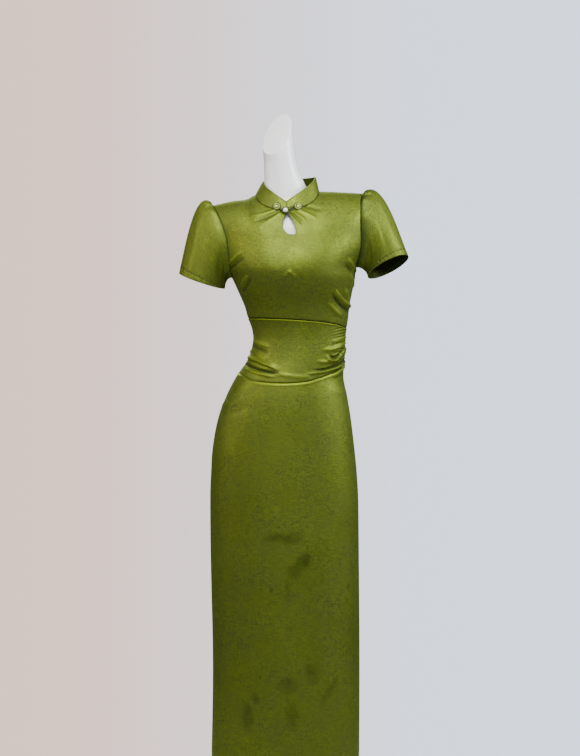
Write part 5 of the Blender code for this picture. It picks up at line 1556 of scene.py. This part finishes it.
# Nylon coil that runs down centre back from the slider to the hip
def zipCoil():
    base = neckEdge(True, np.array([math.pi / 2]))[0]
    low, high = smoothPoint(base[0], base[1]), collarTop(math.pi / 2)
    rise = np.linspace((zipShape["slider"] - low[2]) / (high[2] - low[2]), 0.0, 12)[:, None]
    collarPart = mix(low, high, rise)
    lean = np.broadcast_to(unit(np.cross((-1.0, 0.0, 0.0), high - low)), (12, 3))
    tape = np.linspace(base[1] - 0.001, zipShape["coilEnd"], 300)
    turn = np.full(300, math.pi / 2)
    points = np.concatenate((collarPart, bodyPoint(turn, tape)))
    normals = np.concatenate((lean, smoothNormal(turn, tape)))
    at = np.arange(0.0, walkLengths(points)[-1], zipShape["pitch"])
    spots, ahead = walk(points, at), walk(points, at + 0.0005)
    facings = unit(walk(points, at, normals))
    places = []
    for k, (spot, nextSpot, normal) in enumerate(zip(spots[:-1], ahead, facings)):
        along = Vector(nextSpot - spot)
        tilt = along.normalized() * (zipShape["coilSlant"] if k % 2 else -zipShape["coilSlant"])
        slant = along.cross(Vector(normal)).normalized() + tilt
        places.append(facing(spot + normal * 0.0001, slant, normal, zipShape["coilTurn"]))
    bm = bmesh.new()
    addBeads(bm, places)
    finishMesh("zipCoil", bm, thread)
    foot = neckEdge(False, np.array([1.5 * math.pi]))[0]
    foot, head = smoothPoint(foot[0], foot[1]), collarTop(1.5 * math.pi)
    front = mix(foot, head - (head - foot) * 0.06, np.linspace(0.0, 1.0, 8)[:, None])
    away = np.broadcast_to(unit(np.cross((1.0, 0.0, 0.0), head - foot)), (8, 3))
    layStrip("frontAllowance", front, away, 0.0027)
    layStrip("collarAllowance", collarPart, lean, 0.0026)


zipSlider()
zipPull()
zipCoil()
print("zip made")

formShape = {
    # height, right, left, front, back, lean with the shoulders
    "top": (
        (1.310, -0.1330, 0.1600, 0.092, 0.090, 0.06), (1.350, -0.1400, 0.1600, 0.082, 0.083, 0.09),
        (1.380, -0.1400, 0.1520, 0.067, 0.069, 0.11), (1.402, -0.1180, 0.1320, 0.050, 0.050, 0.12),
        (1.414, -0.0880, 0.0980, 0.043, 0.042, 0.10), (1.422, -0.0660, 0.0700, 0.041, 0.039, 0.06),
        (1.434, -0.0560, 0.0580, 0.040, 0.039, 0.03), (1.452, -0.0515, 0.0470, 0.039, 0.040, 0.0),
        (1.475, -0.0510, 0.0360, 0.038, 0.039, 0.0), (1.505, -0.0516, 0.0270, 0.038, 0.039, 0.0),
    ),
    "ease": ((0.760, 0.0065), (1.190, 0.0065), (1.225, 0.0031), (1.252, 0.0031), (1.275, 0.0065)),
    "squeeze": ((1.222, 1.00, 1.00), (1.250, 0.88, 0.92), (1.300, 0.80, 0.79)),
    "neckTop": (-0.0550, 0.0150, 0.0385, 0.0395), "cut": (1.572, -0.020, 0.734, 1.11),
    "bottom": 0.760, "shoulder": 1.285, "bottomDrop": 0.050, "bottomFlat": 0.96,
    # how many cells go round, and rings in the body, the shoulders and the neck
    "cells": 96, "bodyRings": 64, "topRings": 60, "neckRings": 24,
    "pole": 0.0160, "base": 0.1550, "baseHeight": 0.0120,
}


def formRing(right, left, front, back, height, lean, turn):
    x = (right + left) / 2 + (left - right) / 2 * np.cos(turn)
    y = np.where(np.sin(turn) > 0, back, front) * np.sin(turn)
    return np.stack((x, y, height + lean * x), -1)


def formTorso():
    shape = formShape
    turn = np.linspace(0.0, 2 * math.pi, shape["cells"] + 1)

    def bodyRing(height):
        slack = readTable(shape["ease"], height, 1)
        middle = sum(sideLines(height)) / 2
        ring = smoothPoint(turn, height) - smoothNormal(turn, height) * slack
        share = np.where(ring[:, 0] < middle, readTable(shape["squeeze"], height, 1),
                         readTable(shape["squeeze"], height, 2))
        ring[:, 0] = mix(middle, ring[:, 0], share)
        return ring

    rings = []
    lowest = bodyRing(shape["bottom"])
    middle = lowest[:-1].mean(axis=0)
    for share in np.sin(np.linspace(math.pi / 2, 0.0, 13))[1:-1]:
        share = min(share, shape["bottomFlat"])
        rings.append(middle + (lowest - middle) * math.sqrt(1 - share * share)
                     - np.array((0.0, 0.0, shape["bottomDrop"] * share)))
    for height in np.linspace(shape["bottom"], shape["shoulder"], shape["bodyRings"]):
        rings.append(bodyRing(height))
    for height in np.linspace(shape["top"][0][0], shape["top"][-1][0], shape["topRings"]):
        row = [readTable(shape["top"], height, k) for k in range(1, 6)]
        rings.append(formRing(*row[:4], height, row[4], turn))
    last = rings[-1]
    flat = formRing(*shape["neckTop"], 0.0, 0.0, turn)
    cutHeight, cutX, slopeX, slopeY = shape["cut"]
    for step in range(1, shape["neckRings"] + 1):
        share = step / shape["neckRings"]
        ring = mix(last, flat, share)
        cut = cutHeight + slopeX * (ring[:, 0] - cutX) + slopeY * ring[:, 1]
        ring[:, 2] = mix(last[:, 2], cut, share)
        rings.append(ring)
    bm = gridMesh(np.array(rings))[0]
    bmesh.ops.remove_doubles(bm, verts=bm.verts[:], dist=0.00001)
    rims = [edge for edge in bm.edges if edge.is_boundary]
    filled = bmesh.ops.holes_fill(bm, edges=rims, sides=0)["faces"]
    bmesh.ops.recalc_face_normals(bm, faces=bm.faces[:])
    top = max(filled, key=lambda face: face.calc_center_median().z)
    bevelEdges(bm, list(top.edges), 0.0012, 3)
    made = finishMesh("formTorso", bm, formWhite)
    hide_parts("form_torso")


def turned(name, node, radius, low, high, edge):
    bm = bmesh.new()
    bmesh.ops.create_cone(bm, cap_ends=True, segments=96, radius1=radius, radius2=radius, depth=high - low,
                          matrix=Matrix.Translation((0.0, 0.0, (low + high) / 2)))
    if edge:
        rim = [item for item in bm.edges if min(vert.co.z for vert in item.verts) > high - 0.0001]
        bevelEdges(bm, rim, edge, 5)
    made = finishMesh(name, bm, standWhite, sharp=40)
    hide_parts(node)


formTorso()
turned("formPole", "form_pole", formShape["pole"], formShape["baseHeight"] + seamGap,
       formShape["bottom"] - formShape["bottomDrop"] * formShape["bottomFlat"] - seamGap, 0.0)
turned("formBase", "form_base", formShape["base"], 0.0, formShape["baseHeight"], 0.0030)
print("dress form made")

print("scene ready")
